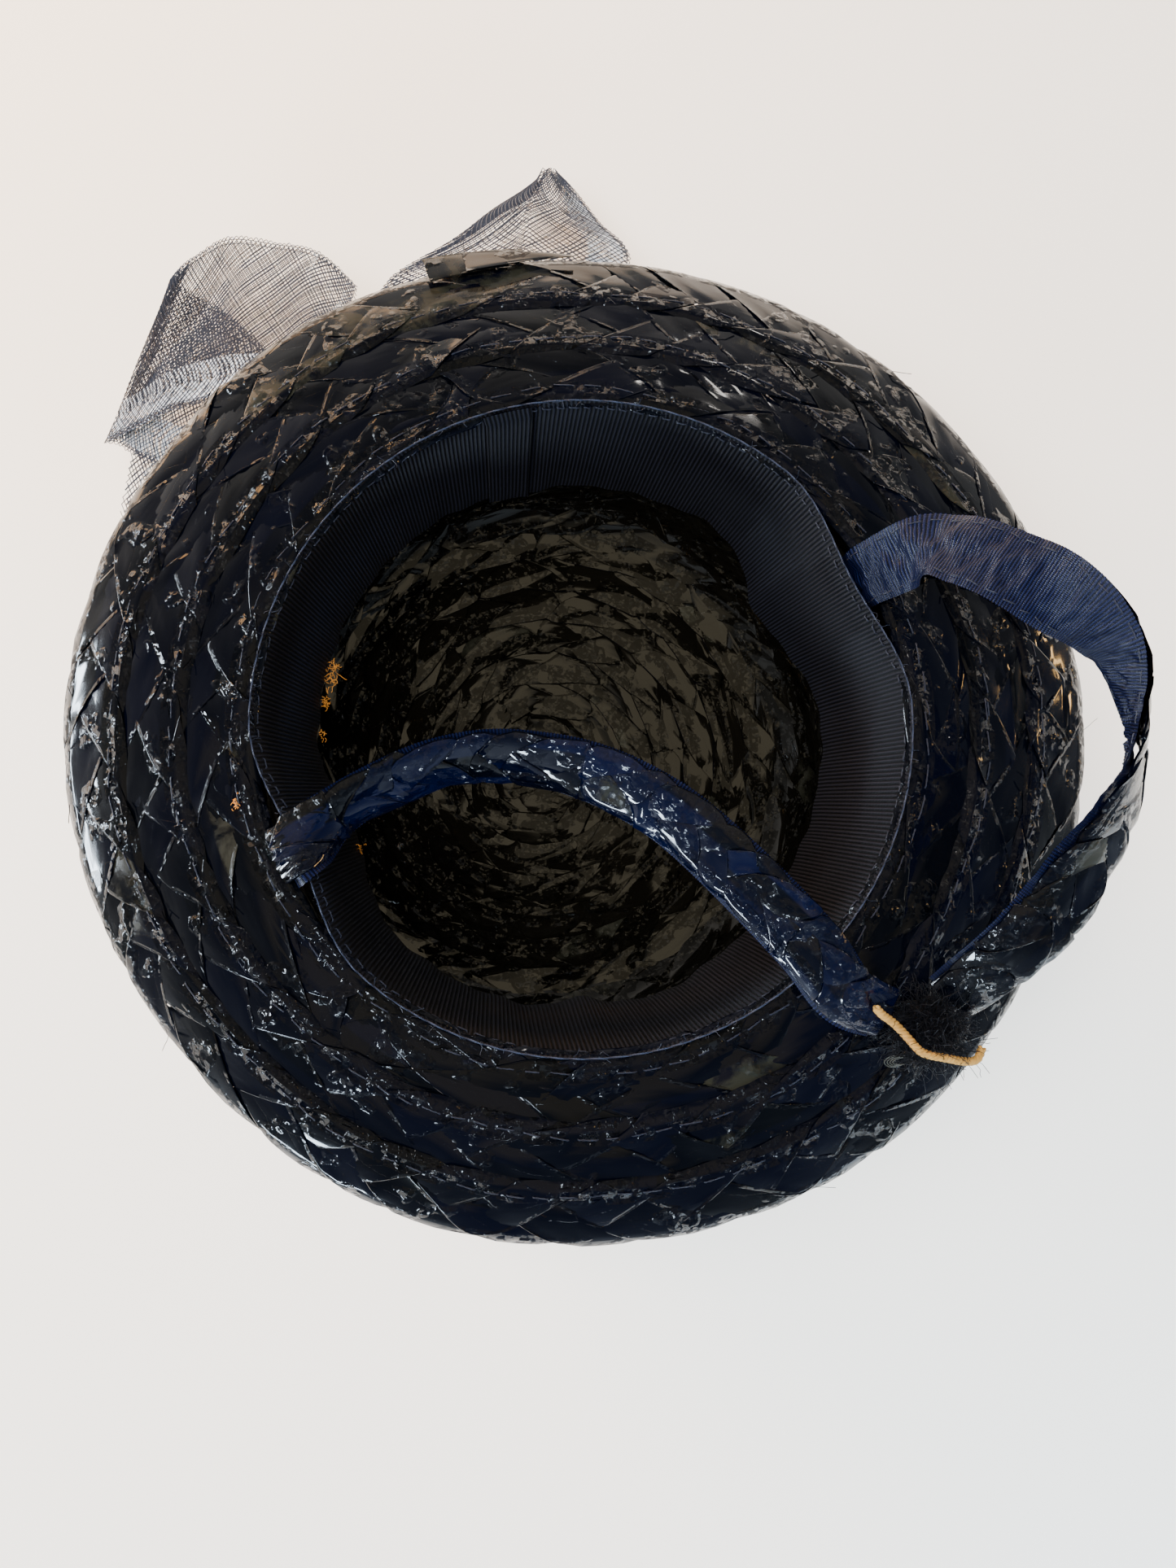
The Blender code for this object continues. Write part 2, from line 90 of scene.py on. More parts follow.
def easedRows(rows, at):
    # eases from each row's value to the next one's
    for (start, low), (end, high) in zip(rows, rows[1:]):
        if start <= at <= end:
            return low + (high - low) * eased(at - start, end - start)
    return rows[0][1]


def shareAt(table, azimuth):
    return easedRows(table + [(table[0][0] + 360.0, table[0][1])], azimuth % 360.0)


def turnFrom(azimuth, middle):
    return (azimuth - middle + 180.0) % 360.0 - 180.0


def polar(azimuth, radius, height):
    turn = math.radians(azimuth)
    return Vector((radius * math.cos(turn), radius * math.sin(turn), height))


def brimFall(along):
    # distance out and fall of the brim's curve; past its edge it goes on straight
    inside = clamped(along, hat["brimWidth"])
    out, fall = 0.0, 0.0
    for i in range(8):
        share = (i + 0.5) / 8 * inside / hat["brimWidth"]
        slope = math.radians(hat["slopeIn"] + (hat["slopeOut"] - hat["slopeIn"]) * share)
        out += math.cos(slope) * inside / 8
        fall += math.sin(slope) * inside / 8
    past = along - inside
    slope = math.radians(hat["slopeOut"] if past > 0 else hat["slopeIn"])
    return out + past * math.cos(slope), fall + past * math.sin(slope)


crownEdge = hat["crownDepth"] - hat["wall"] - hat["rowStep"] * 0.5 - hat["seatGap"]


def lean(point, overBrim=False):
    # the upright hat leans, while the tip stays flat
    share = 1.0 if overBrim else clamped(point.z / crownEdge)
    fall = share * (point.x * slopeAcross + point.y * slopeUp)
    return Vector((point.x + share * hat["leanAcross"], point.y + share * hat["leanUp"], point.z - fall))


def brimPoint(azimuth, along, height):
    # a point over the brim's curve, measured from the middle of its wall
    out, fall = brimFall(along)
    out *= shareAt(brimShares, azimuth)
    turn = math.radians(hat["waves"] * azimuth + hat["waveStart"])
    wave = hat["wave"] * (out / hat["brimWidth"]) ** 2 * math.sin(turn)
    level = hat["crownDepth"] - (hat["wall"] + hat["rowStep"]) / 2
    return lean(polar(azimuth, brimInner + out, level - fall + height + wave), True)


def crownProfile(length):
    # place and normal, out and up, at a length along the crown's outer face from its middle
    corner = wallRadius - hat["tipFlatRadius"]
    turn = (length - hat["tipFlatRadius"]) / corner
    if turn <= 0:
        return (length, 0.0), (0.0, 1.0)
    if turn <= math.pi / 2:
        place = (hat["tipFlatRadius"] + corner * math.sin(turn), corner * (1.0 - math.cos(turn)))
        return place, (-math.sin(turn), math.cos(turn))
    return (wallRadius, corner + length - hat["tipFlatRadius"] - corner * math.pi / 2), (-1.0, 0.0)


def crownPoint(azimuth, length, lift):
    # a point over the crown's outer face, lifted towards the hollow
    (out, up), (outward, upward) = crownProfile(length)
    return lean(polar(azimuth, out + outward * lift, up + upward * lift))


def splinePoints(points, perSpan):
    # a smooth curve through the given vectors
    ends = [2 * points[0] - points[1]] + list(points) + [2 * points[-1] - points[-2]]
    found = []
    for i in range(1, len(ends) - 2):
        before, start, end, after = ends[i - 1 : i + 3]
        for step in range(perSpan):
            t = step / perSpan
            bend = (2 * before - 5 * start + 4 * end - after) * t * t
            turn = (3 * start - before - 3 * end + after) * t**3
            found.append(0.5 * (2 * start + (end - before) * t + bend + turn))
    return found + [points[-1]]


def fromAxes(start, axes, spot):
    return start + axes[0] * spot[0] + axes[1] * spot[1] + axes[2] * spot[2]


def facing(azimuth, elevation):
    return polar(azimuth, math.cos(math.radians(elevation)), math.sin(math.radians(elevation)))


def overHat(azimuth, distance, rise):
    return lean(polar(azimuth, distance * brimRadius, hat["crownDepth"] * (1.0 + rise)), True)


def newObject(name, data):
    made = bpy.data.objects.new(name, data)
    bpy.context.scene.collection.objects.link(made)
    return made


# Camera first: straight down over the hat, as the photo was taken
cameraView = {"place": (0.0133, -0.0048, 0.315), "sensor": 36.0, "lens": 36.0 * 1445 / 1927}
cameraData = bpy.data.cameras.new("camera")
cameraData.sensor_width = cameraView["sensor"]
cameraData.lens = cameraView["lens"]
cameraData.clip_start = 0.01
camera = newObject("camera", cameraData)
camera.location = cameraView["place"]
bpy.context.scene.camera = camera


def newMaterial(name):
    material = bpy.data.materials.new(name)
    material.use_nodes = True
    tree = material.node_tree
    return material, tree, tree.nodes["Principled BSDF"]


def fill(tree, node, inputs):
    # links a socket to each input, or sets its value
    for name, value in inputs.items():
        if isinstance(value, bpy.types.NodeSocket):
            tree.links.new(value, node.inputs[name])
        else:
            node.inputs[name].default_value = value


def addNode(tree, kind, inputs=None, **settings):
    node = tree.nodes.new(kind)
    for name, value in settings.items():
        setattr(node, name, value)
    fill(tree, node, inputs or {})
    return node


def noiseOf(tree, vector, scale, detail=4.0, roughness=0.5, distortion=0.0):
    values = {"Vector": vector, "Scale": scale, "Detail": detail, "Roughness": roughness, "Distortion": distortion}
    return addNode(tree, "ShaderNodeTexNoise", values).outputs["Fac"]


def rampOf(tree, factor, stops):
    # stops are (position, grey or colour)
    ramp = addNode(tree, "ShaderNodeValToRGB", {"Fac": factor})
    elements = ramp.color_ramp.elements
    while len(elements) < len(stops):
        elements.new(0.5)
    for element, (position, tone) in zip(elements, stops):
        element.position = position
        element.color = (*tone, 1.0) if isinstance(tone, tuple) else (tone, tone, tone, 1.0)
    return ramp.outputs["Color"]


def mathOf(tree, operation, first, second=0.5, clamp=False):
    return addNode(tree, "ShaderNodeMath", {0: first, 1: second}, operation=operation, use_clamp=clamp).outputs[0]


def times(tree, first, second, clamp=False):
    return mathOf(tree, "MULTIPLY", first, second, clamp)


def vectorOf(tree, operation, first, second):
    return addNode(tree, "ShaderNodeVectorMath", {0: first, 1: second}, operation=operation).outputs


def mixOf(tree, factor, first, second, blend="MIX"):
    tones = [value if isinstance(value, bpy.types.NodeSocket) else (*value, 1.0) for value in (first, second)]
    values = {0: factor, 6: tones[0], 7: tones[1]}
    return addNode(tree, "ShaderNodeMix", values, data_type="RGBA", blend_type=blend).outputs[2]


def attributeOf(tree, name, output="Fac"):
    return addNode(tree, "ShaderNodeAttribute", attribute_name=name).outputs[output]


def bumpOf(tree, height, strength, distance):
    values = {"Strength": strength, "Distance": distance, "Height": height}
    return addNode(tree, "ShaderNodeBump", values).outputs["Normal"]


pinchSide = -0.27  # where across a row its stitching pinches it

# Straw: a mask is (value, strength) at both its ends, after a noise's scale, detail, roughness and distortion
straw = {
    "deep": (0.0004, 0.0006, 0.0012),
    "blue": (0.0005, 0.0008, 0.0030),
    "worn": (0.010, 0.0098, 0.0068),
    "facet": (0.011, 0.0046),  # size of the flat facets along and across a strip
    "facetTilt": 0.035,
    "crumple": 640.0,
    "crumpleTilt": 1.35,
    "wrinkle": 330.0,
    "wrinkleDepth": 0.0016,
    "rough": (90.0, 3.0, 0.5, 0.0, [(0.35, 0.05), (0.70, 0.20)]),
    "cloud": (150.0, 5.0, 0.6, 0.5, [(0.42, 0.0), (0.60, 1.0)]),
    "scuff": (420.0, 5.0, 0.65, 0.0, [(0.64, 0.0), (0.80, 0.14)]),
    "spots": (170.0, 3.0, 0.5, 0.0, [(0.43, 0.0), (0.55, 1.0)]),
    "scattered": (115.0, 2.0),
    "loose": 0.575,  # how much of that noise is left flat
    "pinch": [(0.03, 1.0), (0.11, 0.0)],
    "folded": [(0.84, 0.0), (0.98, 0.7)],
    "rowEdge": [(0.32, 0.0), (0.42, 0.8)],
    "specular": 0.16,
    "coat": 0.25,
}


def facetsOf(tree, vector, scale, tilt):
    # height of a surface of flat facets, each tilted its own way
    cells = addNode(tree, "ShaderNodeTexVoronoi", {"Vector": vector, "Scale": scale})
    fromMiddle = vectorOf(tree, "SUBTRACT", vector, cells.outputs["Position"])[0]
    turned = vectorOf(tree, "SUBTRACT", cells.outputs["Color"], (0.5, 0.5, 0.5))[0]
    return times(tree, vectorOf(tree, "DOT_PRODUCT", fromMiddle, turned)["Value"], tilt)


def makeStraw(name, look):
    material, tree, shader = newMaterial(name)
    place = addNode(tree, "ShaderNodeTexCoord").outputs["Object"]

    def mask(name):
        *noiseLook, stops = look[name]
        return rampOf(tree, noiseOf(tree, place, *noiseLook), stops)

    def larger(first, second):
        return mathOf(tree, "MAXIMUM", first, second)

    wear = larger(times(tree, attributeOf(tree, "cloudy"), mask("cloud")), mask("scuff"))
    base = mixOf(tree, attributeOf(tree, "stripTone"), look["deep"], look["blue"])
    # flat facets along each strip, and small crumples where a row is stitched and folded
    size = (1 / look["facet"][0], 1 / look["facet"][1], 1.0)
    stretched = vectorOf(tree, "MULTIPLY", attributeOf(tree, "alongStrip", "Vector"), size)[0]
    facets = facetsOf(tree, stretched, 1.0, look["facetTilt"] * look["facet"][1])
    fine = facetsOf(tree, place, look["crumple"], look["crumpleTilt"])
    rowSide = attributeOf(tree, "rowSide")
    fromPinch = mathOf(tree, "ABSOLUTE", mathOf(tree, "SUBTRACT", rowSide, pinchSide))
    crumpled = rampOf(tree, fromPinch, look["pinch"])
    crumpled = larger(crumpled, rampOf(tree, attributeOf(tree, "edge"), look["folded"]))
    crumpled = larger(crumpled, rampOf(tree, mathOf(tree, "ABSOLUTE", rowSide), look["rowEdge"]))
    crumpled = times(tree, crumpled, mask("spots"))
    loose = [(look["loose"], 0.0), (look["loose"] + 0.08, 0.6)]
    crumpled = larger(crumpled, rampOf(tree, noiseOf(tree, place, *look["scattered"]), loose))
    wet = times(tree, noiseOf(tree, place, look["wrinkle"], 2.0), look["wrinkleDepth"])
    height = mathOf(tree, "MULTIPLY_ADD", mathOf(tree, "ADD", fine, wet), crumpled)
    tree.links.new(facets, height.node.inputs[2])
    values = {
        "Base Color": mixOf(tree, wear, base, look["worn"]),
        "Roughness": mathOf(tree, "ADD", mask("rough"), times(tree, wear, 0.35)),
        "Normal": bumpOf(tree, height, 1.0, 1.0),
        "Coat Weight": look["coat"],
        "Coat Roughness": 0.05,
        "Specular IOR Level": look["specular"],
    }
    fill(tree, shader, values)
    return material


# for both ribbons: the navy is painted lighter on the rib tops (light) and darker in the hollows between them (dark),
# a painted highlight and shade
grosgrain = {"dark": (0.0001, 0.0001, 0.0003), "light": (0.0050, 0.0054, 0.0092), "rough": 0.60, "sheen": 0.01}
clearGrosgrain = {"dark": (0.0003, 0.0005, 0.0024), "light": (0.0038, 0.0062, 0.0270), "rough": 0.33, "sheen": 0.0}


def makeGrosgrain(name, look):
    material, tree, shader = newMaterial(name)
    place = addNode(tree, "ShaderNodeTexCoord").outputs["Object"]
    # painted highlight and shade: the colour goes from dark in the hollows to light on the rib tops, faded at random
    paintedRibShading = rampOf(tree, attributeOf(tree, "ribHeight"), [(0.25, 0.0), (0.85, 1.0)])
    faded = mathOf(tree, "ADD", noiseOf(tree, place, 60.0, 5.0, 0.6), 0.45)
    uv = addNode(tree, "ShaderNodeUVMap", uv_map="cloth").outputs["UV"]
    weave = addNode(tree, "ShaderNodeTexWave", {"Vector": uv, "Scale": 1.0, "Distortion": 0.6, "Detail": 1.0})
    weave.bands_direction = "Y"
    values = {
        "Base Color": mixOf(tree, times(tree, paintedRibShading, faded, True), look["dark"], look["light"]),
        "Roughness": look["rough"],
        "Specular IOR Level": 0.25,
        "Sheen Weight": look["sheen"],
        "Sheen Roughness": 0.4,
        "Normal": bumpOf(tree, weave.outputs["Fac"], 0.5, 0.00012),
    }
    fill(tree, shader, values)
    return material


def makeThread(name, dark, light, rough, scale=900.0, coat=0.0):
    material, tree, shader = newMaterial(name)
    fibre = noiseOf(tree, addNode(tree, "ShaderNodeTexCoord").outputs["Object"], scale, 4.0, 0.6)
    values = {
        "Base Color": mixOf(tree, fibre, dark, light),
        "Roughness": rough,
        "Coat Weight": coat,
        "Specular IOR Level": 0.3,
        "Normal": bumpOf(tree, fibre, 0.6, 0.00015),
    }
    fill(tree, shader, values)
    return material


lacqueredStraw = makeStraw("lacquered straw", straw)
# a shaded copy of the straw for the faces on the hat's outside, turned to the floor: less gloss and coat to dim their
# reflection of the bright floor, painted shade
dulledUnderStraw = makeStraw("straw under side painted duller", {**straw, "specular": 0.06, "coat": 0.10})
# a lit copy of the straw for inside the crown: its colour, gloss and coat are raised over the brim's straw to offset
# the shade of the hollow, painted light
crownLightenedLook = {"deep": (0.0014, 0.0012, 0.0008), "blue": (0.0024, 0.0020, 0.0013), "specular": 0.55, "coat": 0.8}
crownLightenedStraw = makeStraw("crown straw painted lighter", {**straw, **crownLightenedLook, "loose": 0.54})
strapLook = {**straw, "loose": 0.47, "coat": 0.5}
strapBlues = {"Long": (0.0008, 0.0017, 0.0095), "Short": (0.0004, 0.0007, 0.0026)}
strapStraws = {
    half: makeStraw("strap straw " + half.lower(), {**strapLook, "blue": blue}) for half, blue in strapBlues.items()
}
bandCloth = makeGrosgrain("navy grosgrain", grosgrain)
strapCloth = makeGrosgrain("strap grosgrain", clearGrosgrain)
goldCotton = makeThread("golden cotton", (0.13, 0.058, 0.010), (0.40, 0.225, 0.060), 0.75)
darkCotton = makeThread("dark sewing thread", (0.003, 0.0034, 0.006), (0.017, 0.020, 0.032), 0.5)
edgeCotton = makeThread("band edge thread", (0.006, 0.008, 0.016), (0.034, 0.042, 0.070), 0.5)
frayedFibre = makeThread("frayed fibre", (0.0008, 0.0009, 0.0014), (0.0045, 0.005, 0.0075), 0.6)
netStrand = makeThread("net strand", (0.010, 0.011, 0.016), (0.055, 0.058, 0.075), 0.32, 300.0, 0.5)
# near-white strands that paint the sheen of the net where its strands are dense: a painted highlight
netSheenStrand = makeThread("net strand painted sheen", (0.50, 0.51, 0.53), (0.90, 0.91, 0.93), 0.25, 300.0)
paleStraw = makeThread("pale straw end", (0.010, 0.011, 0.010), (0.055, 0.058, 0.050), 0.3, 500.0)
orangeCotton = makeThread("orange thread", (0.22, 0.075, 0.010), (0.52, 0.22, 0.04), 0.7)


def newTree(name, inputs):
    # a tree with named inputs: {name: value}, or no value for a material
    kinds = {float: "NodeSocketFloat", int: "NodeSocketInt", type(None): "NodeSocketMaterial"}
    tree = bpy.data.node_groups.new(name, "GeometryNodeTree")
    tree.interface.new_socket("Geometry", in_out="INPUT", socket_type="NodeSocketGeometry")
    tree.interface.new_socket("Geometry", in_out="OUTPUT", socket_type="NodeSocketGeometry")
    for label, value in inputs.items():
        socket = tree.interface.new_socket(label, in_out="INPUT", socket_type=kinds[type(value)])
        if value is not None:
            socket.default_value = value
    return tree, tree.nodes.new("NodeGroupInput").outputs, tree.nodes.new("NodeGroupOutput")


def namedValue(tree, name, kind="FLOAT"):
    return addNode(tree, "GeometryNodeInputNamedAttribute", {"Name": name}, data_type=kind).outputs["Attribute"]


def moved(tree, geometry, direction, distance):
    offset = addNode(tree, "ShaderNodeVectorMath", {0: direction, "Scale": distance}, operation="SCALE").outputs[0]
    return addNode(tree, "GeometryNodeSetPosition", {"Geometry": geometry, "Offset": offset}).outputs[0]


def painted(tree, geometry, material):
    return addNode(tree, "GeometryNodeSetMaterial", {"Geometry": geometry, "Material": material}).outputs[0]


def realized(tree, geometry):
    return addNode(tree, "GeometryNodeRealizeInstances", {"Geometry": geometry}).outputs[0]


def makeStripTree():
    # flat folded strips: lifts a guide grid over and under, bends it, and gives it two faces with thin edges
    sizes = {"Weave Rise": 0.0003, "Strip Thickness": 0.0004, "Buckle": 0.0005, "Buckle Scale": 70.0}
    tree, group, output = newTree("folded straw strips", {**sizes, "Finish": None, "Under Finish": None})
    outward = namedValue(tree, "outward", "FLOAT_VECTOR")
    woven = times(tree, namedValue(tree, "level"), group["Weave Rise"])
    place = addNode(tree, "GeometryNodeInputPosition").outputs[0]
    waves = {"Vector": place, "Scale": group["Buckle Scale"], "Detail": 1.0}
    wave = addNode(tree, "ShaderNodeTexNoise", waves).outputs[0]
    buckle = times(tree, mathOf(tree, "SUBTRACT", wave, 0.5), group["Buckle"])
    middle = moved(tree, group["Geometry"], outward, mathOf(tree, "ADD", woven, buckle))
    flatness = mathOf(tree, "SUBTRACT", 1.0, mathOf(tree, "POWER", namedValue(tree, "edge"), 36.0))
    half = times(tree, times(tree, flatness, 0.5), group["Strip Thickness"])
    upper, under = (
        painted(tree, moved(tree, middle, outward, times(tree, half, side)), group[finish])
        for side, finish in ((1.0, "Finish"), (-1.0, "Under Finish"))
    )
    joined = addNode(tree, "GeometryNodeJoinGeometry")
    tree.links.new(upper, joined.inputs[0])
    tree.links.new(addNode(tree, "GeometryNodeFlipFaces", {"Mesh": under}).outputs[0], joined.inputs[0])
    welded = addNode(tree, "GeometryNodeMergeByDistance", {"Geometry": joined.outputs[0], "Distance": 0.000005})
    tree.links.new(realized(tree, welded.outputs[0]), output.inputs[0])
    return tree


def makeTubeTree():
    # tubes along a guide's edges, their size a share of "girth" on each point
    sizes = {"Radius": 0.0002, "Sides": 6, "Flatness": 1.0}
    tree, group, output = newTree("strands along paths", {**sizes, "Finish": None})
    curve = addNode(tree, "GeometryNodeMeshToCurve", {"Mesh": group["Geometry"]}).outputs[0]
    girth = {"Curve": curve, "Radius": namedValue(tree, "girth")}
    sized = addNode(tree, "GeometryNodeSetCurveRadius", girth).outputs[0]
    ring = addNode(tree, "GeometryNodeCurvePrimitiveCircle", {"Resolution": group["Sides"]}, mode="RADIUS")
    tree.links.new(group["Radius"], ring.inputs["Radius"])
    squeeze = addNode(tree, "ShaderNodeCombineXYZ", {"X": group["Flatness"], "Y": 1.0, "Z": 1.0}).outputs[0]
    oval = addNode(tree, "GeometryNodeTransform", {"Geometry": ring.outputs[0], "Scale": squeeze}).outputs[0]
    tube = addNode(tree, "GeometryNodeCurveToMesh", {"Curve": sized, "Profile Curve": oval, "Fill Caps": True})
    tree.links.new(painted(tree, realized(tree, tube.outputs[0]), group["Finish"]), output.inputs[0])
    return tree


stripTree = makeStripTree()
tubeTree = makeTubeTree()


def guideMesh(name, points, edges=(), faces=(), values=None, vectors=None):
    mesh = bpy.data.meshes.new(name)
    mesh.from_pydata(points, list(edges), list(faces))
    for label, data in (values or {}).items():
        mesh.attributes.new(label, "FLOAT", "POINT").data.foreach_set("value", data)
    for label, data in (vectors or {}).items():
        flat = [part for vector in data for part in vector]
        mesh.attributes.new(label, "FLOAT_VECTOR", "POINT").data.foreach_set("vector", flat)
    return mesh


def addPiece(name, mesh, stands, sharp):
    # stands names the solid that the piece replaces; an edge stays sharp over that angle in degrees
    mesh.name = name
    mesh.shade_smooth()
    mesh.set_sharp_from_angle(angle=math.radians(sharp))
    piece = newObject(name, mesh)
    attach(piece, "root")
    if stands:
        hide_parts(stands)
    print(name, len(mesh.polygons))
    return piece


def grown(name, mesh, tree, settings, stands, sharp):
    # runs a tree over a guide mesh and keeps the plain result
    guide = newObject(name + "_guide", mesh)
    modifier = guide.modifiers.new("grow", "NODES")
    modifier.node_group = tree
    for item in tree.interface.items_tree:
        if item.in_out == "INPUT" and item.name in settings:
            modifier[item.identifier] = settings[item.name]
    bpy.context.view_layer.update()
    result = bpy.data.meshes.new_from_object(guide.evaluated_get(bpy.context.evaluated_depsgraph_get()))
    bpy.data.objects.remove(guide)
    return addPiece(name, result, stands, sharp)


def gridCells(first, count, width, closed):
    # the first two corners of each cell in a grid of count rows of width points
    for i in range(count if closed else count - 1):
        for c in range(width - 1):
            yield first + i * width + c, first + (i + 1) % count * width + c


class StripGrid:
    # a guide for strips: its points and what the strip tree and the straw read at each
    def __init__(self):
        self.points, self.outwards, self.alongStrip, self.faces, self.values = [], [], [], [], {}

    def add(self, spot, above, alongStrip, **values):
        self.points.append(spot)
        self.outwards.append((above - spot).normalized())
        self.alongStrip.append(alongStrip)
        for label, value in values.items():
            self.values.setdefault(label, []).append(value)

    def fillRows(self, count, width, closed=False):
        cells = gridCells(len(self.points) - count * width, count, width, closed)
        self.faces += [(a, b, b + 1, a + 1) for a, b in cells]

    def grow(self, name, settings, stands):
        vectors = {"outward": self.outwards, "alongStrip": self.alongStrip}
        guide = guideMesh(name + "_rows", self.points, (), self.faces, self.values, vectors)
        return grown(name, guide, stripTree, settings, stands, plait["sharp"])


unworn = (0.0, 0.0)

# Plait: three flat strips of folded straw, woven on the bias and folded over at both edges.
# Along a row the weave repeats every lobe; a strip crosses from edge to edge in one and a half.
plait = {
    "lobe": 0.0168,  # length of one lobe along a row
    "width": 0.0156,
    "half": 0.53,  # half of a strip's extent along the row, in lobes
    "rise": 0.00024,
    "thickness": 0.00044,
    "buckle": 0.0005,
    "buckleScale": 75.0,
    "tilt": 1.3,  # sideways tilt of each visible stretch, in units of rise
    "crease": 0.85,  # height of the creases along a strip, in units of rise
    "lobed": 0.10,
    "uneven": 0.10,
    "stretch": 1.5,  # length of each straight stretch of a strip, in half lobes
    "drift": 0.14,  # how far the weave wanders along a row, in lobes
    "bent": (1.2, 1.9),  # how seldom and how strongly a stretch is bent
    "clouded": 0.025,  # share of the strips that are worn cloudy
    "worn": 0.45,  # and where a row is worn
    "lip": 1.2,  # an edge curled up here and there, in units of rise
    "roll": 0.0011,  # fall of a row's rounded edges
    "sharp": 38.0,
    "slant": 1.22,  # length of a strip in each lobe, in lobes
    "strip": 0.0042,  # half of its width
}
columns = [-1.0, -0.97, -0.9, -0.45, 0.0, 0.45, 0.9, 0.97, 1.0]
fewColumns = [-1.0, -0.96, -0.5, 0.0, 0.5, 0.96, 1.0]
overUnder = [(1.36, -1.0), (1.64, 1.0), (2.55, 1.0), (3.45, -1.0), (4.36, -1.0)]


def weaveLevel(phase):
    # a strip goes over its neighbour at 2 and under it at 1, again every 3, and folds over at 0 and 3
    start = overUnder[0][0]
    return easedRows(overUnder, start + (phase - start) % 3.0)


def plaitGrid(rows, density, seed, columns):
    # each row: (lobes, closed, place, worn), where place(lobe, side, lift) is a point on the hat
    # and worn is the stretch of the row, in degrees, whose strips are mostly worn
    dice = random.Random(seed)
    grid = StripGrid()

    def fold():
        # mostly flat, now and then strongly bent
        size = dice.uniform(-1, 1)
        return size * abs(size) ** plait["bent"][0] * plait["bent"][1]

    for lobes, closed, place, (wornFrom, wornTo) in rows:
        stations = int(round(2 * lobes * density))
        count = stations if closed else stations + 1
        knots = int(2 * lobes / plait["stretch"]) + 3
        warp = [(dice.uniform(0, math.tau), dice.uniform(0.5, 1.0)) for _ in range(3)]

        def slide(lobe):
            # the weave isn't quite even along a row
            turn = math.tau * lobe / max(lobes, 1)
            waves = [size * math.sin(turn * (k + 2) * 3 + start) for k, (start, size) in enumerate(warp)]
            return plait["drift"] * sum(waves)

        for strand in range(3):
            # for every stretch of the strip: tilt, three creases, width, tuck, then tone and cloud
            stretch = [[fold() for _ in range(6)] + [dice.random(), dice.random()] for _ in range(knots)]
            for i in range(count):
                lobe = i / (2 * density)
                phase = 2 * lobe + 2 * strand
                turn = phase % 6.0
                side = -0.5 + turn / 3 if turn < 3 else 0.5 - (turn - 3) / 3
                near = abs(2 * side) ** 4
                knot = 2 * lobe / plait["stretch"]
                now, after = stretch[int(knot) % (knots - 2)], stretch[(int(knot) + 1) % (knots - 2)]
                blend = eased(knot % 1.0)
                bend = [u + (v - u) * blend for u, v in zip(now, after)]
                ended = not closed and i in (0, count - 1)
                worn = "worn" if wornFrom < 360.0 * lobe / lobes < wornTo else "clouded"
                for share in columns:
                    step = share * plait["half"] * (1.0 + plait["uneven"] * bend[4])
                    pull = 1.0 - plait["lobed"] * near * share * share * (1.0 + bend[5])
                    at = lobe + step + slide(lobe + step)
                    if not closed:
                        at = clamped(at, lobes)
                    part = 1 if share < -0.2 else 3 if share > 0.2 else 2
                    crease = bend[part] * plait["crease"] if abs(share) < 0.6 else 0.0
                    if abs(share) > 0.95:
                        crease = max(0.0, bend[part]) * plait["lip"] * (abs(share) - 0.9) * 10
                    grid.add(
                        place(at, side * pull, 0.0),
                        place(at, side * pull, 0.001),
                        (lobe * plait["lobe"] * plait["slant"], share * plait["strip"], strand * 3.1 + seed),
                        level=weaveLevel(phase + step) + share * bend[0] * plait["tilt"] + crease,
                        edge=1.0 if ended else abs(share),
                        stripTone=now[6],
                        rowSide=side * pull,
                        cloudy=1.0 if now[7] < plait[worn] else 0.0,
                    )
            grid.fillRows(count, len(columns), closed)
    return grid


def ringRow(radius, onHat, worn=unworn):
    # a closed row, where onHat(azimuth, side, lift) is a point on the hat
    lobes = max(3, 3 * round(math.tau * radius / plait["lobe"] / 3))

    def place(lobe, side, lift):
        return onHat(360.0 * lobe / lobes, side, lift)

    return lobes, True, place, worn


def rolled(side):
    # how far a row falls where it is folded over at its edges
    return plait["roll"] * max(0.0, (abs(2 * side) - 0.66) / 0.34) ** 2


stripSettings = {
    "Weave Rise": plait["rise"],
    "Strip Thickness": plait["thickness"],
    "Buckle": plait["buckle"],
    "Buckle Scale": plait["buckleScale"],
    "Finish": lacqueredStraw,
    # the under faces take the duller straw copy, painted shade
    "Under Finish": dulledUnderStraw,
}


def plaited(name, rows, density, seed, stands, settings=stripSettings, columns=columns):
    return plaitGrid(rows, density, seed, columns).grow(name, settings, stands)


def brimRow(middle, width, lap, worn=unworn):
    def onBrim(azimuth, side, lift):
        return brimPoint(azimuth, middle + side * width, lift - side * lap - rolled(side))

    return ringRow(brimInner + brimFall(middle)[0], onBrim, worn)


brimPlait = {
    "pitch": 0.0134,
    "width": 0.0170,
    "lap": 0.0015,
    "edgeTuck": 0.0002,
    "sliver": 0.0095,
    "sliverMiddle": 0.0026,
}
brimWorn = [(96.0, 136.0), unworn, unworn]


def rowMiddle(row):
    return hat["brimWidth"] - brimPlait["edgeTuck"] - brimPlait["width"] / 2 - row * brimPlait["pitch"]


for row, label in enumerate(("Outer", "Middle", "Inner")):
    ring = brimRow(rowMiddle(row), brimPlait["width"], brimPlait["lap"], brimWorn[row])
    plaited("brimPlait" + label, [ring], 9, 3 + row, "brim")
sliver = brimRow(brimPlait["sliverMiddle"], brimPlait["sliver"], brimPlait["lap"] * 0.6)
plaited("brimPlaitSliver", [sliver], 5, 8, "brim")

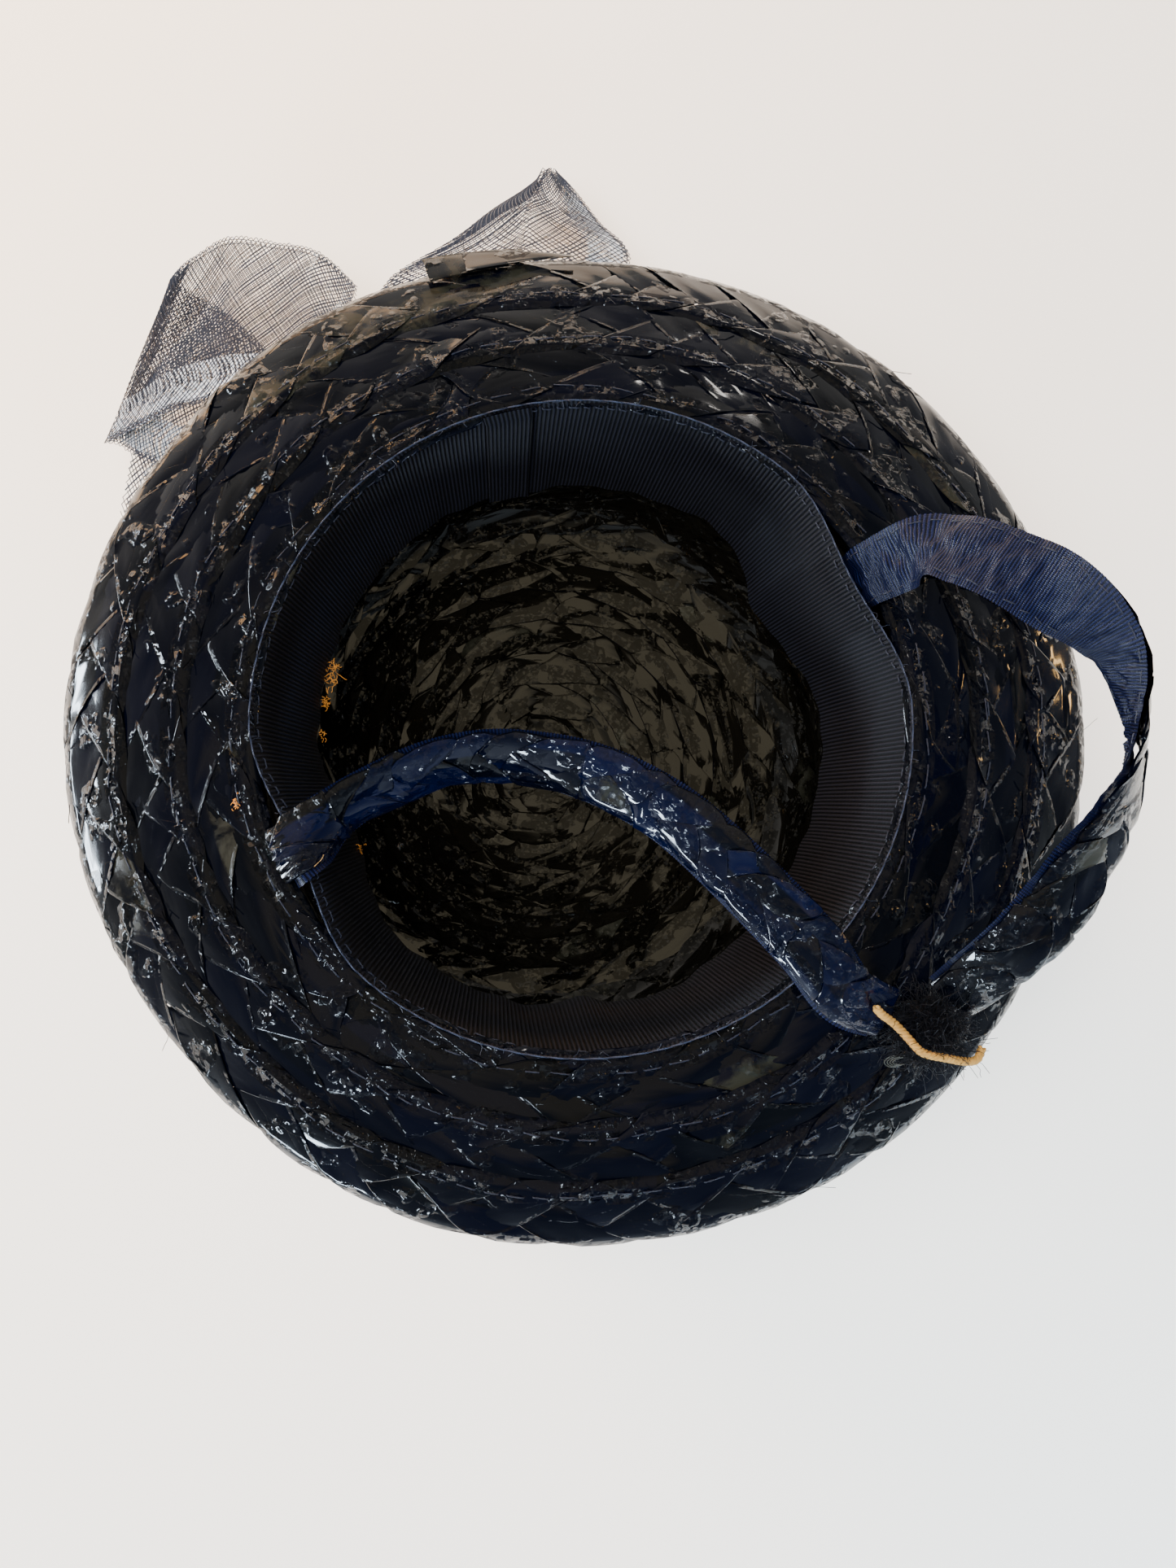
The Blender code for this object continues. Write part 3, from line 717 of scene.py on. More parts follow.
crownPlait = {"pitch": 0.0082, "lap": 0.0023, "liftTip": 0.00195, "liftWall": 0.0010, "coil": 0.0065, "rise": 0.00032}


def crownRow(middle):
    def onCrown(azimuth, side, lift):
        length = middle + side * plait["width"]
        share = clamped((length - hat["tipFlatRadius"]) / 0.03)
        base = crownPlait["liftTip"] + (crownPlait["liftWall"] - crownPlait["liftTip"]) * share
        return crownPoint(azimuth, max(0.0003, length), base + lift - side * crownPlait["lap"])

    return ringRow(crownProfile(middle)[0][0], onCrown)


crownLength = hat["tipFlatRadius"] + (wallRadius - hat["tipFlatRadius"]) * (math.pi / 2 - 1) + crownEdge
rows = []
middle = crownLength - plait["width"] / 2
while middle > crownPlait["coil"]:
    rows.append(crownRow(middle))
    middle -= crownPlait["pitch"]
half = len(rows) // 2

# the plait's own start: a straight stretch across the middle of the tip, under the innermost row
crownStart = {"lobes": 3, "past": 0.0065, "lift": 0.0019}
startReach = middle + crownPlait["pitch"] - plait["width"] / 2 + crownStart["past"]


def startPlace(lobe, side, lift):
    along, aside = (2 * lobe / crownStart["lobes"] - 1) * startReach, 2 * side * startReach
    azimuth = math.degrees(math.atan2(aside, along))
    return crownPoint(azimuth, math.hypot(along, aside), crownStart["lift"] + lift)


rows.append((crownStart["lobes"], False, startPlace, unworn))
# the crown's rows take the straw copy painted lighter
settings = {**stripSettings, "Weave Rise": crownPlait["rise"], "Finish": crownLightenedStraw}
for label, some in (("Side", rows[:half]), ("Tip", rows[half:])):
    plaited("crownPlait" + label, some, 5, 10, "crown", settings, fewColumns)

# Braid end: the cut end of the outermost row, folded flat over the brim at its upper left
braidEnd = {"azimuth": 100.6, "turn": 18.0, "width": 0.0082, "lift": 0.0020, "overhang": 0.0030, "plate": 0.00035}

# each plate: where it starts and ends along the piece, its side edges at both ends, lift, droop towards its outer edge
endPlates = [
    (0.00, 0.66, (-1.00, 1.00), (-0.72, 0.94), 0.0004, 0.10),
    (0.26, 1.00, (-0.92, 0.98), (-0.20, 0.02), 0.0011, 0.30),
]


def braidEndPoint(along, side, lift):
    azimuth = braidEnd["azimuth"] + braidEnd["turn"] * (0.5 - along)
    out = hat["brimWidth"] + braidEnd["overhang"] - braidEnd["width"] * (0.5 - side / 2)
    return brimPoint(azimuth, out, braidEnd["lift"] * (1.0 - 0.55 * along) + lift)


dice = random.Random(19)
grid, steps = StripGrid(), 16
for index, (start, end, (low, high), (lowEnd, highEnd), rise, droop) in enumerate(endPlates):
    for i in range(steps + 1):
        share = i / steps
        at = start + (end - start) * share
        left, right = low + (lowEnd - low) * share, high + (highEnd - high) * share
        for place in columns:
            side = left + (right - left) * (place + 1) / 2
            ragged = dice.uniform(-0.006, 0.006) if i in (0, steps) else 0.0
            lift = rise - droop * 0.0008 * place + 0.00022 * math.sin(6 * at + index * 2 + place)
            grid.add(
                braidEndPoint(at + ragged, side, lift),
                braidEndPoint(at, side, lift + 0.001),
                (at * 0.03, side * 0.004, index * 2.7),
                level=0.0,
                edge=1.0 if i in (0, steps) else abs(place),
                stripTone=0.1 * index,
                rowSide=0.3,
                cloudy=max(0.0, 1.0 - at * 1.6) if index == 0 else 0.0,
            )
    grid.fillRows(steps + 1, len(columns))
grid.grow("braidEnd", {**stripSettings, "Strip Thickness": braidEnd["plate"]}, "braid_end")


def ribbonPiece(name, place, length, width, look, stands, closed=False):
    # ribs across a ribbon, with small picots where they end
    # place(along, side, lift): side runs from -1 to 1 across the ribbon
    stations = round(length / look["ribPitch"]) * 4
    count = stations if closed else stations + 1
    across = look["across"]
    points, faces, ribHeights, spots = [], [], [], []
    for face in (1.0, -1.0):
        first = len(points)
        for i in range(count):
            along = length * i / stations
            rib = 0.5 + 0.5 * math.cos(math.pi * i / 2)
            for c in range(across + 1):
                side = 2 * c / across - 1
                outer = c in (0, across)
                edge = outer or (not closed and i in (0, count - 1))
                picot = look["picot"] * (rib - 0.3) * 2 / width if outer else 0.0
                reach = side + math.copysign(picot, side)
                rise = 0.0 if edge else look["wall"] / 2 + look["ribDepth"] * (rib if face > 0 else 0.3)
                points.append(place(along, reach, face * rise))
                ribHeights.append(rib)
                spots.append((along * 1000, side * width * 500))
        for a, b in gridCells(first, count, across + 1, closed):
            corners = (a, a + 1, b + 1, b)
            faces.append(corners if face > 0 else corners[::-1])
    mesh = guideMesh(name, points, (), faces, {"ribHeight": ribHeights})
    layer = mesh.uv_layers.new(name="cloth")
    for loop in mesh.loops:
        layer.data[loop.index].uv = spots[loop.vertex_index]
    form = bmesh.new()
    form.from_mesh(mesh)
    bmesh.ops.remove_doubles(form, verts=form.verts, dist=0.000001)
    form.to_mesh(mesh)
    form.free()
    mesh.materials.append(look["finish"])
    return addPiece(name, mesh, stands, 70.0)


strap = {
    "width": 0.0135,
    "straw": 0.0016,
    "ribbon": 0.001,
    "camber": 0.0004,
    "lay": 0.0006,
    "tuck": 0.0085,
    "room": 0.0010,
    "bend": 48.0,
    "longAzimuth": -155.0,
    "shortAzimuth": 27.0,
    "exitWidths": [0.84, 0.86, 0.88, 0.90],
    "lobe": 0.0088,
}
insetTurn = 25.0  # degrees each way over which the band stands in beside a strap's end
strapThick = strap["straw"] + strap["ribbon"] + strap["lay"]
insetDepth = strapThick + strap["room"] * 1.5

band = {
    "ribPitch": 0.00097,
    "ribDepth": 0.00034,
    "wall": 0.0004,
    "picot": 0.00028,
    "across": 10,
    "finish": bandCloth,
    "ripple": 0.00022,
    "lapLift": 0.00125,
}
lining = {"ribPitch": 0.00062, "ribDepth": 0.00013, "wall": 0.0003, "picot": 0.00022, "finish": strapCloth}

# kinks of the band's free edge: azimuth, how far each spreads, how much it turns further in, in metres
bandKinks = [
    (36.0, 9.0, 0.0035),
    (58.0, 7.0, -0.0012),
    (-87.0, 6.0, 0.0022),
    (-70.0, 9.0, -0.0010),
    (100.0, 8.0, 0.0012),
]


def bandInset(azimuth):
    inset = 0.0
    for middle in (strap["longAzimuth"], strap["shortAzimuth"]):
        away = abs(turnFrom(azimuth, middle)) / insetTurn
        if away < 1.0:
            inset = insetDepth * (0.5 + 0.5 * math.cos(math.pi * away))
    return inset


def bandPoint(azimuth, drop, lift):
    # a point over the middle of the band's wall, lifted towards the hollow
    turn = math.radians(hat["bandLean"] * shareAt(bandShares, azimuth))
    share = max(0.0, drop / hat["bandWidth"])
    for middle, spread, depth in bandKinks:
        lift += depth * math.exp(-((turnFrom(azimuth, middle) / spread) ** 2)) * share**1.5
    ripple = math.sin(math.radians(azimuth * 23)) + math.sin(math.radians(azimuth * 41 + 50))
    lift += band["ripple"] * ripple * share**2
    radius = hat["openingRadius"] + hat["bandWall"] / 2 - bandInset(azimuth)
    radius -= drop * math.sin(turn) + lift * math.cos(turn)
    return lean(polar(azimuth, radius, hat["crownDepth"] - drop * math.cos(turn) + lift * math.sin(turn)))


bandLength = math.tau * hat["openingRadius"]
lapAzimuth, lapTurn = 104.5, 9.0
lapLength = bandLength * lapTurn / 360.0


def bandPlace(along, side, lift):
    return bandPoint(360.0 * along / bandLength, hat["bandWidth"] * (0.5 - side / 2), lift)


def bandLapPlace(along, side, lift):
    azimuth = lapAzimuth + lapTurn * (along / lapLength - 0.5)
    return bandPoint(azimuth, hat["bandWidth"] * (0.5 - side / 2), lift + band["lapLift"])


bandPiece = ribbonPiece("sweatbandRibbon", bandPlace, bandLength, hat["bandWidth"], band, "sweatband", True)
bandLap = ribbonPiece("sweatbandLap", bandLapPlace, lapLength, hat["bandWidth"], band, "sweatband_lap")
for piece, length in ((bandPiece, bandLength), (bandLap, lapLength)):
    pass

# Strap: its route is the solids' own
longRoute = [
    (-159.0, 0.47, 0.01, 80.0, -42.0, 0.92),
    (-161.0, 0.37, 0.02, 84.0, -42.0, 0.94),
    (-162.0, 0.28, 0.04, 92.0, -42.0, 0.96),
    (-157.0, 0.19, 0.06, 84.0, -46.0, 1.00),
    (-138.0, 0.12, 0.08, 76.0, -50.0, 1.00),
    (-90.0, 0.10, 0.10, 70.0, -56.0, 1.00),
    (-58.0, 0.16, 0.11, 62.0, -60.0, 1.00),
    (-48.0, 0.26, 0.12, 55.0, -64.0, 1.00),
    (-46.0, 0.41, 0.13, 50.0, -68.0, 1.00),
    (-46.0, 0.57, 0.10, 42.0, -74.0, 0.98),
    (-47.0, 0.68, 0.05, 40.0, -80.0, 0.92),
]
shortRoute = [
    (26.0, 0.68, 0.19, 60.0, 80.0, 1.00),
    (23.0, 0.72, 0.28, 60.0, 84.0, 1.04),
    (18.0, 0.77, 0.35, 120.0, 84.0, 1.06),
    (14.0, 0.815, 0.39, 215.0, 68.0, 1.04),
    (10.5, 0.855, 0.41, 212.0, 40.0, 1.00),
    (6.0, 0.895, 0.405, 200.0, 18.0, 0.94),
    (1.0, 0.915, 0.37, 190.0, -2.0, 0.85),
    (-3.0, 0.925, 0.35, 182.0, -20.0, 0.88),
    (-8.0, 0.925, 0.31, 176.0, -42.0, 0.97),
    (-13.0, 0.91, 0.27, 170.0, -54.0, 1.02),
    (-18.0, 0.89, 0.23, 165.0, -66.0, 1.06),
    (-22.0, 0.88, 0.20, 160.0, -76.0, 1.04),
    (-28.0, 0.86, 0.15, 150.0, -80.0, 1.00),
]
longEnd = (40.0, -84.0, 0.80)
shortEnd = (140.0, -84.0, 0.84)
tuft = {"length": 0.0085, "breadth": 0.0075, "height": 0.0034, "turn": 8.0}
tuftLow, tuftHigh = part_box("tie_tuft")
tuftMiddle = (tuftLow + tuftHigh) / 2
tuftUp = Vector((slopeAcross, slopeUp, 1.0)).normalized()
tuftAcross = tuftUp.cross(polar(tuft["turn"], 1.0, 0.0)).normalized()
tuftAlong = tuftAcross.cross(tuftUp)


def tuftEdge(direction):
    flat = (direction - tuftUp * direction.dot(tuftUp)).normalized()
    reach = 1.0 / math.hypot(flat.dot(tuftAlong) / tuft["length"], flat.dot(tuftAcross) / tuft["breadth"])
    return tuftMiddle - flat * (reach + hat["seatGap"] * 2)


def strapExit(azimuth, turn):
    # up between the band and the crown, then over the opening's edge: outwards for 1, inwards for -1
    inwards = facing(azimuth + 180.0, 0.0)
    bent = facing(azimuth + 180.0, turn * strap["bend"])
    top = hat["crownDepth"]
    low = top - strap["tuck"]
    middle = brimInner - strap["room"] - strapThick / 2
    places = [
        lean(polar(azimuth, middle, low)),
        lean(polar(azimuth, middle, (low + top) / 2)),
        lean(polar(azimuth, middle, top), True),
        lean(polar(azimuth, middle + turn * strapThick / 2, top + strapThick), True),
    ]
    return list(zip(places, [inwards, inwards, inwards, bent], strap["exitWidths"]))


def strapPath(stations, route, end):
    # frames along one half: distance, place, direction of the ribbon side, sideways, width
    for row in route:
        stations.append((overHat(*row[:3]), facing(*row[3:5]), row[5]))
    edge = tuftEdge(tuftMiddle - overHat(*route[-1][:3]))
    stations.append((edge, facing(*end[:2]), end[2]))
    places = splinePoints([station[0] for station in stations], 12)
    facings = splinePoints([station[1] for station in stations], 12)
    widths = splinePoints([Vector((station[2], 0.0)) for station in stations], 12)
    found, distance = [], 0.0
    for i, place in enumerate(places):
        ahead = places[min(i + 1, len(places) - 1)] - places[max(i - 1, 0)]
        side = ahead.cross(facings[i]).normalized()
        if i:
            distance += (place - places[i - 1]).length
        found.append((distance, place, side.cross(ahead).normalized(), side, widths[i].x * strap["width"]))
    return found


def strapPoint(path, along, side, lift):
    # side runs from -1 to 1, and lift goes to the ribbon side
    index = min(len(path) - 2, max(0, bisect.bisect_right(path, along, key=lambda frame: frame[0]) - 1))
    before, after = path[index], path[index + 1]
    share = (along - before[0]) / (after[0] - before[0])
    place, outward, across = (before[k].lerp(after[k], share) for k in (1, 2, 3))
    width = before[4] + (after[4] - before[4]) * share
    lift -= strap["camber"] * (1 - min(1.0, abs(side)))
    return place + across * (side * width / 2) + outward * lift


halves = {
    "Long": strapPath(strapExit(strap["longAzimuth"], -1.0), longRoute, longEnd),
    "Short": strapPath(strapExit(strap["shortAzimuth"], 1.0), shortRoute, shortEnd),
}

# depth of the lining's wrinkles, and its width and sideways shift as shares of the strap's width
liningLook = {
    "Long": {"wrinkles": 0.00006, "width": 1.03, "shift": -0.10, "across": 6},
    "Short": {"wrinkles": 0.00085, "width": 1.06, "shift": 0.0, "across": 12},
}


def liningWrinkle(along, side):
    # soft puckers between the two rows of stitches that hold the ribbon down
    held = 1.0 - 0.8 * min(1.0, abs(side) / 0.8) ** 3
    drift = 1.6 * noise.noise(Vector((along * 120, side * 1.2, 4.0)))
    broad = noise.noise(Vector((along * 210, side * 1.5 + drift, 1.0)))
    fine = noise.noise(Vector((along * 520, side * 2.6 + drift, 7.0)))
    fold = 1.0 - 2.4 * abs(noise.noise(Vector((along * 330 + side * 1.5, side * 1.1, 2.0))))
    return held * (1.4 * broad + 0.7 * fine + 0.8 * fold)


def liningPoint(half, along, side, lift, aside=0.0):
    # a point over the lining, aside in metres from the line that side gives
    path, look = halves[half], liningLook[half]
    rise = (strap["ribbon"] + strap["lay"]) / 2 + liningWrinkle(along, side) * look["wrinkles"]
    across = side * look["width"] + look["shift"] + aside * 2 / strap["width"]
    return strapPoint(path, min(along, path[-1][0]), across, rise + lift)


for half, path in halves.items():
    length = path[-1][0]
    lobes = round(length / strap["lobe"])

    def strawPlace(lobe, side, lift):
        away = -(strap["straw"] + strap["lay"]) / 2 - lift + rolled(side) * 0.6
        return strapPoint(path, length * lobe / lobes, side * 2, away)

    def liningPlace(along, side, lift):
        return liningPoint(half, along, side, lift)

    settings = {**stripSettings, "Finish": strapStraws[half]}
    ring = (lobes, False, strawPlace, unworn)
    strawPiece = plaited("strapStraw" + half, [ring], 8, 41, "strap_straw_" + half.lower(), settings)
    look, stands = {**lining, "across": liningLook[half]["across"]}, "strap_ribbon_" + half.lower()
    liningPiece = ribbonPiece("strapLining" + half, liningPlace, length, strap["width"], look, stands)


class Strands:
    # polylines gathered into one guide mesh
    def __init__(self):
        self.points, self.edges, self.girths = [], [], []

    def add(self, line, girth=1.0):
        first = len(self.points)
        self.points += line
        self.edges += [(first + i, first + i + 1) for i in range(len(line) - 1)]
        self.girths += [girth] * len(line)

    def wander(self, start, direction, length, steps, curl, girth, dice, lowest=0.0):
        # a fibre that strays from its direction, and no lower than lowest
        place, ahead, line = start.copy(), direction.normalized(), []
        for _ in range(steps + 1):
            line.append(place.copy())
            ahead = (ahead + Vector([dice.gauss(0, curl) for _ in range(3)])).normalized()
            place = place + ahead * (length / steps)
            place.z = max(lowest, place.z)
        self.add(line, girth)

    def grow(self, name, slot, radius, sides, finish, flatness=1.0, stands=None):
        guide = guideMesh(name + "_guide", self.points, self.edges, (), {"girth": self.girths})
        settings = {"Radius": radius, "Sides": sides, "Flatness": flatness, "Finish": finish}
        return grown(name, guide, tubeTree, settings, stands, 80.0)


# Tie: golden thread over a frayed tuft
threadRoute = [
    (-1.26, 0.84, 1.62),
    (-1.10, 0.62, 1.42),
    (-0.88, 0.40, 1.20),
    (-0.72, 0.18, 1.14),
    (-0.52, -0.18, 1.30),
    (-0.29, -0.50, 1.28),
    (0.22, -0.72, 1.12),
    (0.76, -0.92, 0.64),
    (1.06, -0.92, 0.44),
    (1.24, -0.66, 0.40),
]
tieThread = {"radius": 0.00046, "ply": 0.00044, "pitch": 0.0027, "plies": 3}
axes = (tuftAlong * tuft["length"], tuftAcross * tuft["breadth"], tuftUp * tuft["height"])
route = [fromAxes(tuftMiddle, axes, spot) for spot in threadRoute]


def twist(strands, route, plies, offset, pitch):
    # plies wound round a route
    for ply in range(plies):
        distance, line = 0.0, []
        for i, place in enumerate(route):
            distance += (place - route[max(i - 1, 0)]).length
            ahead = (route[min(i + 1, len(route) - 1)] - route[max(i - 1, 0)]).normalized()
            side = ahead.cross(tuftUp).normalized()
            angle = math.tau * (distance / pitch + ply / plies)
            line.append(place + (side * math.cos(angle) + side.cross(ahead) * math.sin(angle)) * offset)
        strands.add(line)


tieStrands = Strands()
twist(tieStrands, splinePoints(route, 16), tieThread["plies"], tieThread["ply"], tieThread["pitch"])
tieStrands.grow("tieThread", "cotton_thread", tieThread["radius"], 8, goldCotton, stands="tie_thread")
tuftLook = {"fibres": 2000, "strays": 34, "radius": 0.000065, "length": 0.0088}
dice = random.Random(77)
tuftStrands = Strands()
tuftBase = tuftMiddle.z - tuft["height"] * 0.9
for _ in range(tuftLook["fibres"]):
    ball = Vector((dice.gauss(0, 1), dice.gauss(0, 1), dice.gauss(0, 1))).normalized()
    spot = tuftMiddle + (axes[0] * ball.x + axes[1] * ball.y + axes[2] * ball.z) * dice.uniform(0.15, 0.9)
    flow = tuftAlong * dice.gauss(0.2, 1) + tuftAcross * dice.gauss(-0.2, 0.8) + tuftUp * dice.gauss(0.1, 0.35)
    length = tuftLook["length"] * dice.uniform(0.3, 1.0)
    tuftStrands.wander(spot, flow, length, 4, 0.48, dice.uniform(0.6, 1.2), dice, tuftBase)
for _ in range(tuftLook["strays"]):
    flow = tuftAlong * dice.uniform(0.1, 1) + tuftAcross * dice.uniform(-1, 0.1) + tuftUp * dice.uniform(-0.1, 0.2)
    tuftStrands.wander(tuftMiddle + axes[0] * 0.5, flow, dice.uniform(0.009, 0.016), 16, 0.38, 0.45, dice, tuftBase)
tuftStrands.grow("tieTuft", "frayed_fibre", tuftLook["radius"], 3, frayedFibre, stands="tie_tuft")

# Net trim: bias mesh of stiff strands on the solids' own folded surfaces
crin = {
    "reach": 0.065,
    "knotRadius": 0.0070,
    "knotAzimuth": 125.0,
    "knotRise": 0.42,
    "knotDepth": 0.62,
    "pitch": 0.00084,
    "strand": 0.000118,
    # bright: radius of the near-white strands that paint the net's sheen
    "bright": 0.00027,
    "step": 0.0013,
    "wave": 0.0005,
    "loop": 0.0007,
    "drift": 0.00016,
    "bias": 1.41,  # distance between strands along the net, in pitches
    "layers": 2,
    "layerLift": 0.0009,
    "layerShift": 0.0007,
    "tip": (0.0022, 0.0032),  # how far a herringbone strand points along the net
    "spacing": (0.0006, 0.0013),
    "sheenLift": 0.00025,
}
knotDistance = wallRadius + hat["seatGap"] + crin["knotRadius"] * crin["knotDepth"]
knotMiddle = lean(polar(crin["knotAzimuth"], knotDistance, crin["knotRise"] * hat["crownDepth"]))
knotOut = facing(crin["knotAzimuth"], 0.0)
knotSide = Vector((-knotOut.y, knotOut.x, 0.0))
knotUp = Vector((0.0, 0.0, 1.0))
crinLoops = {
    "left": (
        [(0.43, 0.14), (-0.14, 0.36)],
        [
            ((0.38, 0.42, 0.31), (0.56, 0.02, 0.34)),
            ((0.62, 0.62, 0.23), (0.92, 0.08, 0.27)),
            ((0.82, 0.72, 0.18), (1.16, 0.18, 0.23)),
            ((0.83, 0.73, 0.23), (1.17, 0.18, 0.28)),
            ((0.72, 0.40, 0.32), (1.14, -0.08, 0.32)),
            ((0.56, 0.10, 0.38), (0.90, -0.32, 0.35)),
            ((0.42, -0.10, 0.42), (0.68, -0.38, 0.38)),
        ],
    ),
    "lower": (
        [(0.71, -0.36), (0.36, -0.43)],
        [
            ((0.20, 0.60, 0.22), (0.44, 0.42, 0.21)),
            ((0.38, 0.94, 0.14), (0.68, 0.62, 0.13)),
            ((0.48, 1.06, 0.10), (0.81, 0.70, 0.10)),
        ],
    ),
    "right": (
        [(-0.31, -0.31), (-0.54, 0.06), (-0.71, -0.36)],
        [
            ((0.42, -0.26, 0.34), (0.30, -0.50, 0.43), (0.14, -0.66, 0.36)),
            ((0.66, -0.48, 0.29), (0.42, -0.94, 0.36), (0.20, -1.26, 0.25)),
            ((0.67, -0.88, 0.26), (0.58, -1.10, 0.31), (0.42, -1.31, 0.22)),
            ((0.71, -1.22, 0.21), (0.71, -1.26, 0.23), (0.67, -1.29, 0.20)),
        ],
    ),
}


def crinRows(root, table):
    depth = crin["knotDepth"]
    first = []
    for side, rise in root:
        out = math.sqrt(1.0 - side**2 - rise**2)
        onKnot = (knotOut * (out * depth) + knotSide * side + knotUp * rise) * crin["knotRadius"]
        first.append(knotMiddle + onKnot * 0.9)
    base = Vector((knotMiddle.x, knotMiddle.y, 0.0))
    axes = (knotOut * crin["reach"], knotSide * crin["reach"], knotUp * hat["crownDepth"])
    return [first] + [[fromAxes(base, axes, spot) for spot in row] for row in table]


def netSurface(rows):
    # a function over the sheet through the given rows: along in metres, across from 0 to 1
    columns = [splinePoints(list(column), 10) for column in zip(*rows)]
    grid = [list(row) for row in zip(*columns)]
    middles = [sum(row, Vector()) / len(row) for row in grid]
    distances = [0.0]
    for before, after in zip(middles, middles[1:]):
        distances.append(distances[-1] + (after - before).length)
    spans = [sum((b - a).length for a, b in zip(row, row[1:])) for row in grid]
    parts = len(grid[0]) - 1

    def surface(along, across, lift=0.0):
        index = min(len(grid) - 2, max(0, bisect.bisect_right(distances, along) - 1))
        share = (along - distances[index]) / (distances[index + 1] - distances[index])
        column = max(0, min(parts - 1, int(across * parts)))
        turn = across * parts - column
        near, far = [grid[index + k][column].lerp(grid[index + k][column + 1], turn) for k in (0, 1)]
        normal = (grid[index][column + 1] - grid[index][column]).cross(far - near).normalized()
        wave = math.sin(along * 330 + across * 4) + 0.6 * math.sin(along * 190 - across * 7 + 1.0)
        free = min(1.0, along / 0.02)
        return near.lerp(far, share) + normal * (crin["wave"] * wave * free + lift)

    return surface, sum(spans) / len(spans), distances[-1]


def biasNet(strands, surface, width, length, lift, shift, dice):
    # strands both ways on the bias, each a little off its course
    steps = max(4, round(width / crin["step"]))
    for slant in (1.0, -1.0):
        start = -width + shift
        while start < length + width:
            drift, phase = dice.gauss(0, crin["drift"]), dice.uniform(0, math.tau)
            line = []
            for i in range(steps + 1):
                across = i / steps
                along = start + slant * width * (across - 0.5) + drift * math.sin(5 * across + phase)
                if 0.0 <= along <= length:
                    line.append(surface(along, across, lift))
            if len(line) > 1:
                strands.add(line, dice.uniform(0.75, 1.2))
            start += crin["pitch"] * crin["bias"]


def selvedge(strands, surface, width, length, dice):
    # small loops where the strands turn back at the long edges, and the edge cords inside them
    for across, way in ((0.0, -1.0), (1.0, 1.0)):
        along = 0.004
        while along < length - 0.002:
            reach = way * crin["loop"] / width * dice.uniform(0.6, 1.2)
            pitch = crin["pitch"] * crin["bias"]
            line = [(0.0, 0.0), (0.2, 0.7), (0.5, 1.0), (0.8, 0.7), (1.0, 0.0)]
            strands.add([surface(along + pitch * x, across + reach * y) for x, y in line], 0.8)
            along += pitch
        for inset in (0.0, 0.025):
            count = round(length / 0.0012)
            strands.add([surface(length * i / count, across - way * inset) for i in range(count + 1)], 1.1)


# near-white strands across a band of the net: a painted highlight for its sheen
def herringbone(strands, surface, length, low, high, dice):
    along = 0.008
    while along < length - 0.006:
        tip = dice.uniform(*crin["tip"])
        across = [low, low + (high - low) * 0.25, (low + high) / 2, high - (high - low) * 0.25, high]
        ahead = [0.0, tip * 0.6, tip, tip * 0.6, 0.0]
        line = [surface(along + x, y, crin["sheenLift"]) for x, y in zip(ahead, across)]
        strands.add(line, dice.uniform(0.7, 1.25))
        along += dice.uniform(*crin["spacing"])


# per loop: the band across it where near-white strands in a herringbone paint the net's sheen, a painted highlight
sheenBands = {"left": (0.02, 0.26), "lower": (0.55, 0.97), "right": (0.80, 0.98)}
dice = random.Random(53)
for side, (root, table) in crinLoops.items():
    surface, width, length = netSurface(crinRows(root, table))
    # bright gathers the near-white strands that paint the net's sheen
    strands, bright = Strands(), Strands()
    for layer in range(crin["layers"]):
        lift, shift = layer * crin["layerLift"], layer * crin["layerShift"]
        biasNet(strands, surface, width, length, lift, shift, dice)
    selvedge(strands, surface, width, length, dice)
    herringbone(bright, surface, length, *sheenBands[side], dice)
    label, stands = side.capitalize(), "crin_loop_" + side
    netPiece = strands.grow("crinNet" + label, "stiff_net", crin["strand"], 3, netStrand, stands=stands)
    sheenPiece = bright.grow("crinSheen" + label, "stiff_net", crin["bright"], 4, netSheenStrand)

# Knot: the net's gathered middle, wound with thread
knotLook = {"gathers": 46, "gather": 0.00042, "points": 14, "winds": 7, "wind": 0.00018}


def onKnot(turn, rise, size=1.0):
    # turn round the knot's upright axis and rise from -90 to 90, in degrees
    flat = math.cos(math.radians(rise)) * crin["knotRadius"] * size
    out = flat * math.cos(math.radians(turn)) * crin["knotDepth"]
    lift = knotUp * (math.sin(math.radians(rise)) * crin["knotRadius"] * size)
    return knotMiddle + knotOut * out + knotSide * (flat * math.sin(math.radians(turn))) + lift


gathers, winds = Strands(), Strands()
for i in range(knotLook["gathers"]):
    turn = 360.0 * i / knotLook["gathers"]
    rises = [-88.0 + 176.0 * k / knotLook["points"] for k in range(knotLook["points"] + 1)]
    sway = dice.uniform(3.0, 9.0)
    gathers.add([onKnot(turn + sway * math.sin(rise * 0.05), rise, dice.uniform(0.93, 1.0)) for rise in rises])
for i in range(knotLook["winds"]):
    tilt = dice.uniform(-14.0, 14.0)
    winds.add([onKnot(15.0 * k, (i - 3) * 5.0 + tilt * math.sin(math.radians(15.0 * k)), 1.03) for k in range(25)])
gathers.grow("crinKnot", "stiff_net", knotLook["gather"], 5, netStrand, stands="crin_knot")
winds.grow("crinKnotThread", "stiff_net", knotLook["wind"], 5, darkCotton)

# Stitching: along the brim's rows, under the band's edge and along both edges of the strap's lining
stitches = {
    "reach": 0.0052,
    "gap": 0.0007,
    "thread": 0.00011,
    "lean": 0.0003,
    "dip": 0.0003,  # depth of a stitch's ends in the straw
    "turn": 2.1,  # twist of the two plies at each of a stitch's steps
    "apart": 0.00009,
    "swell": 0.00008,
}


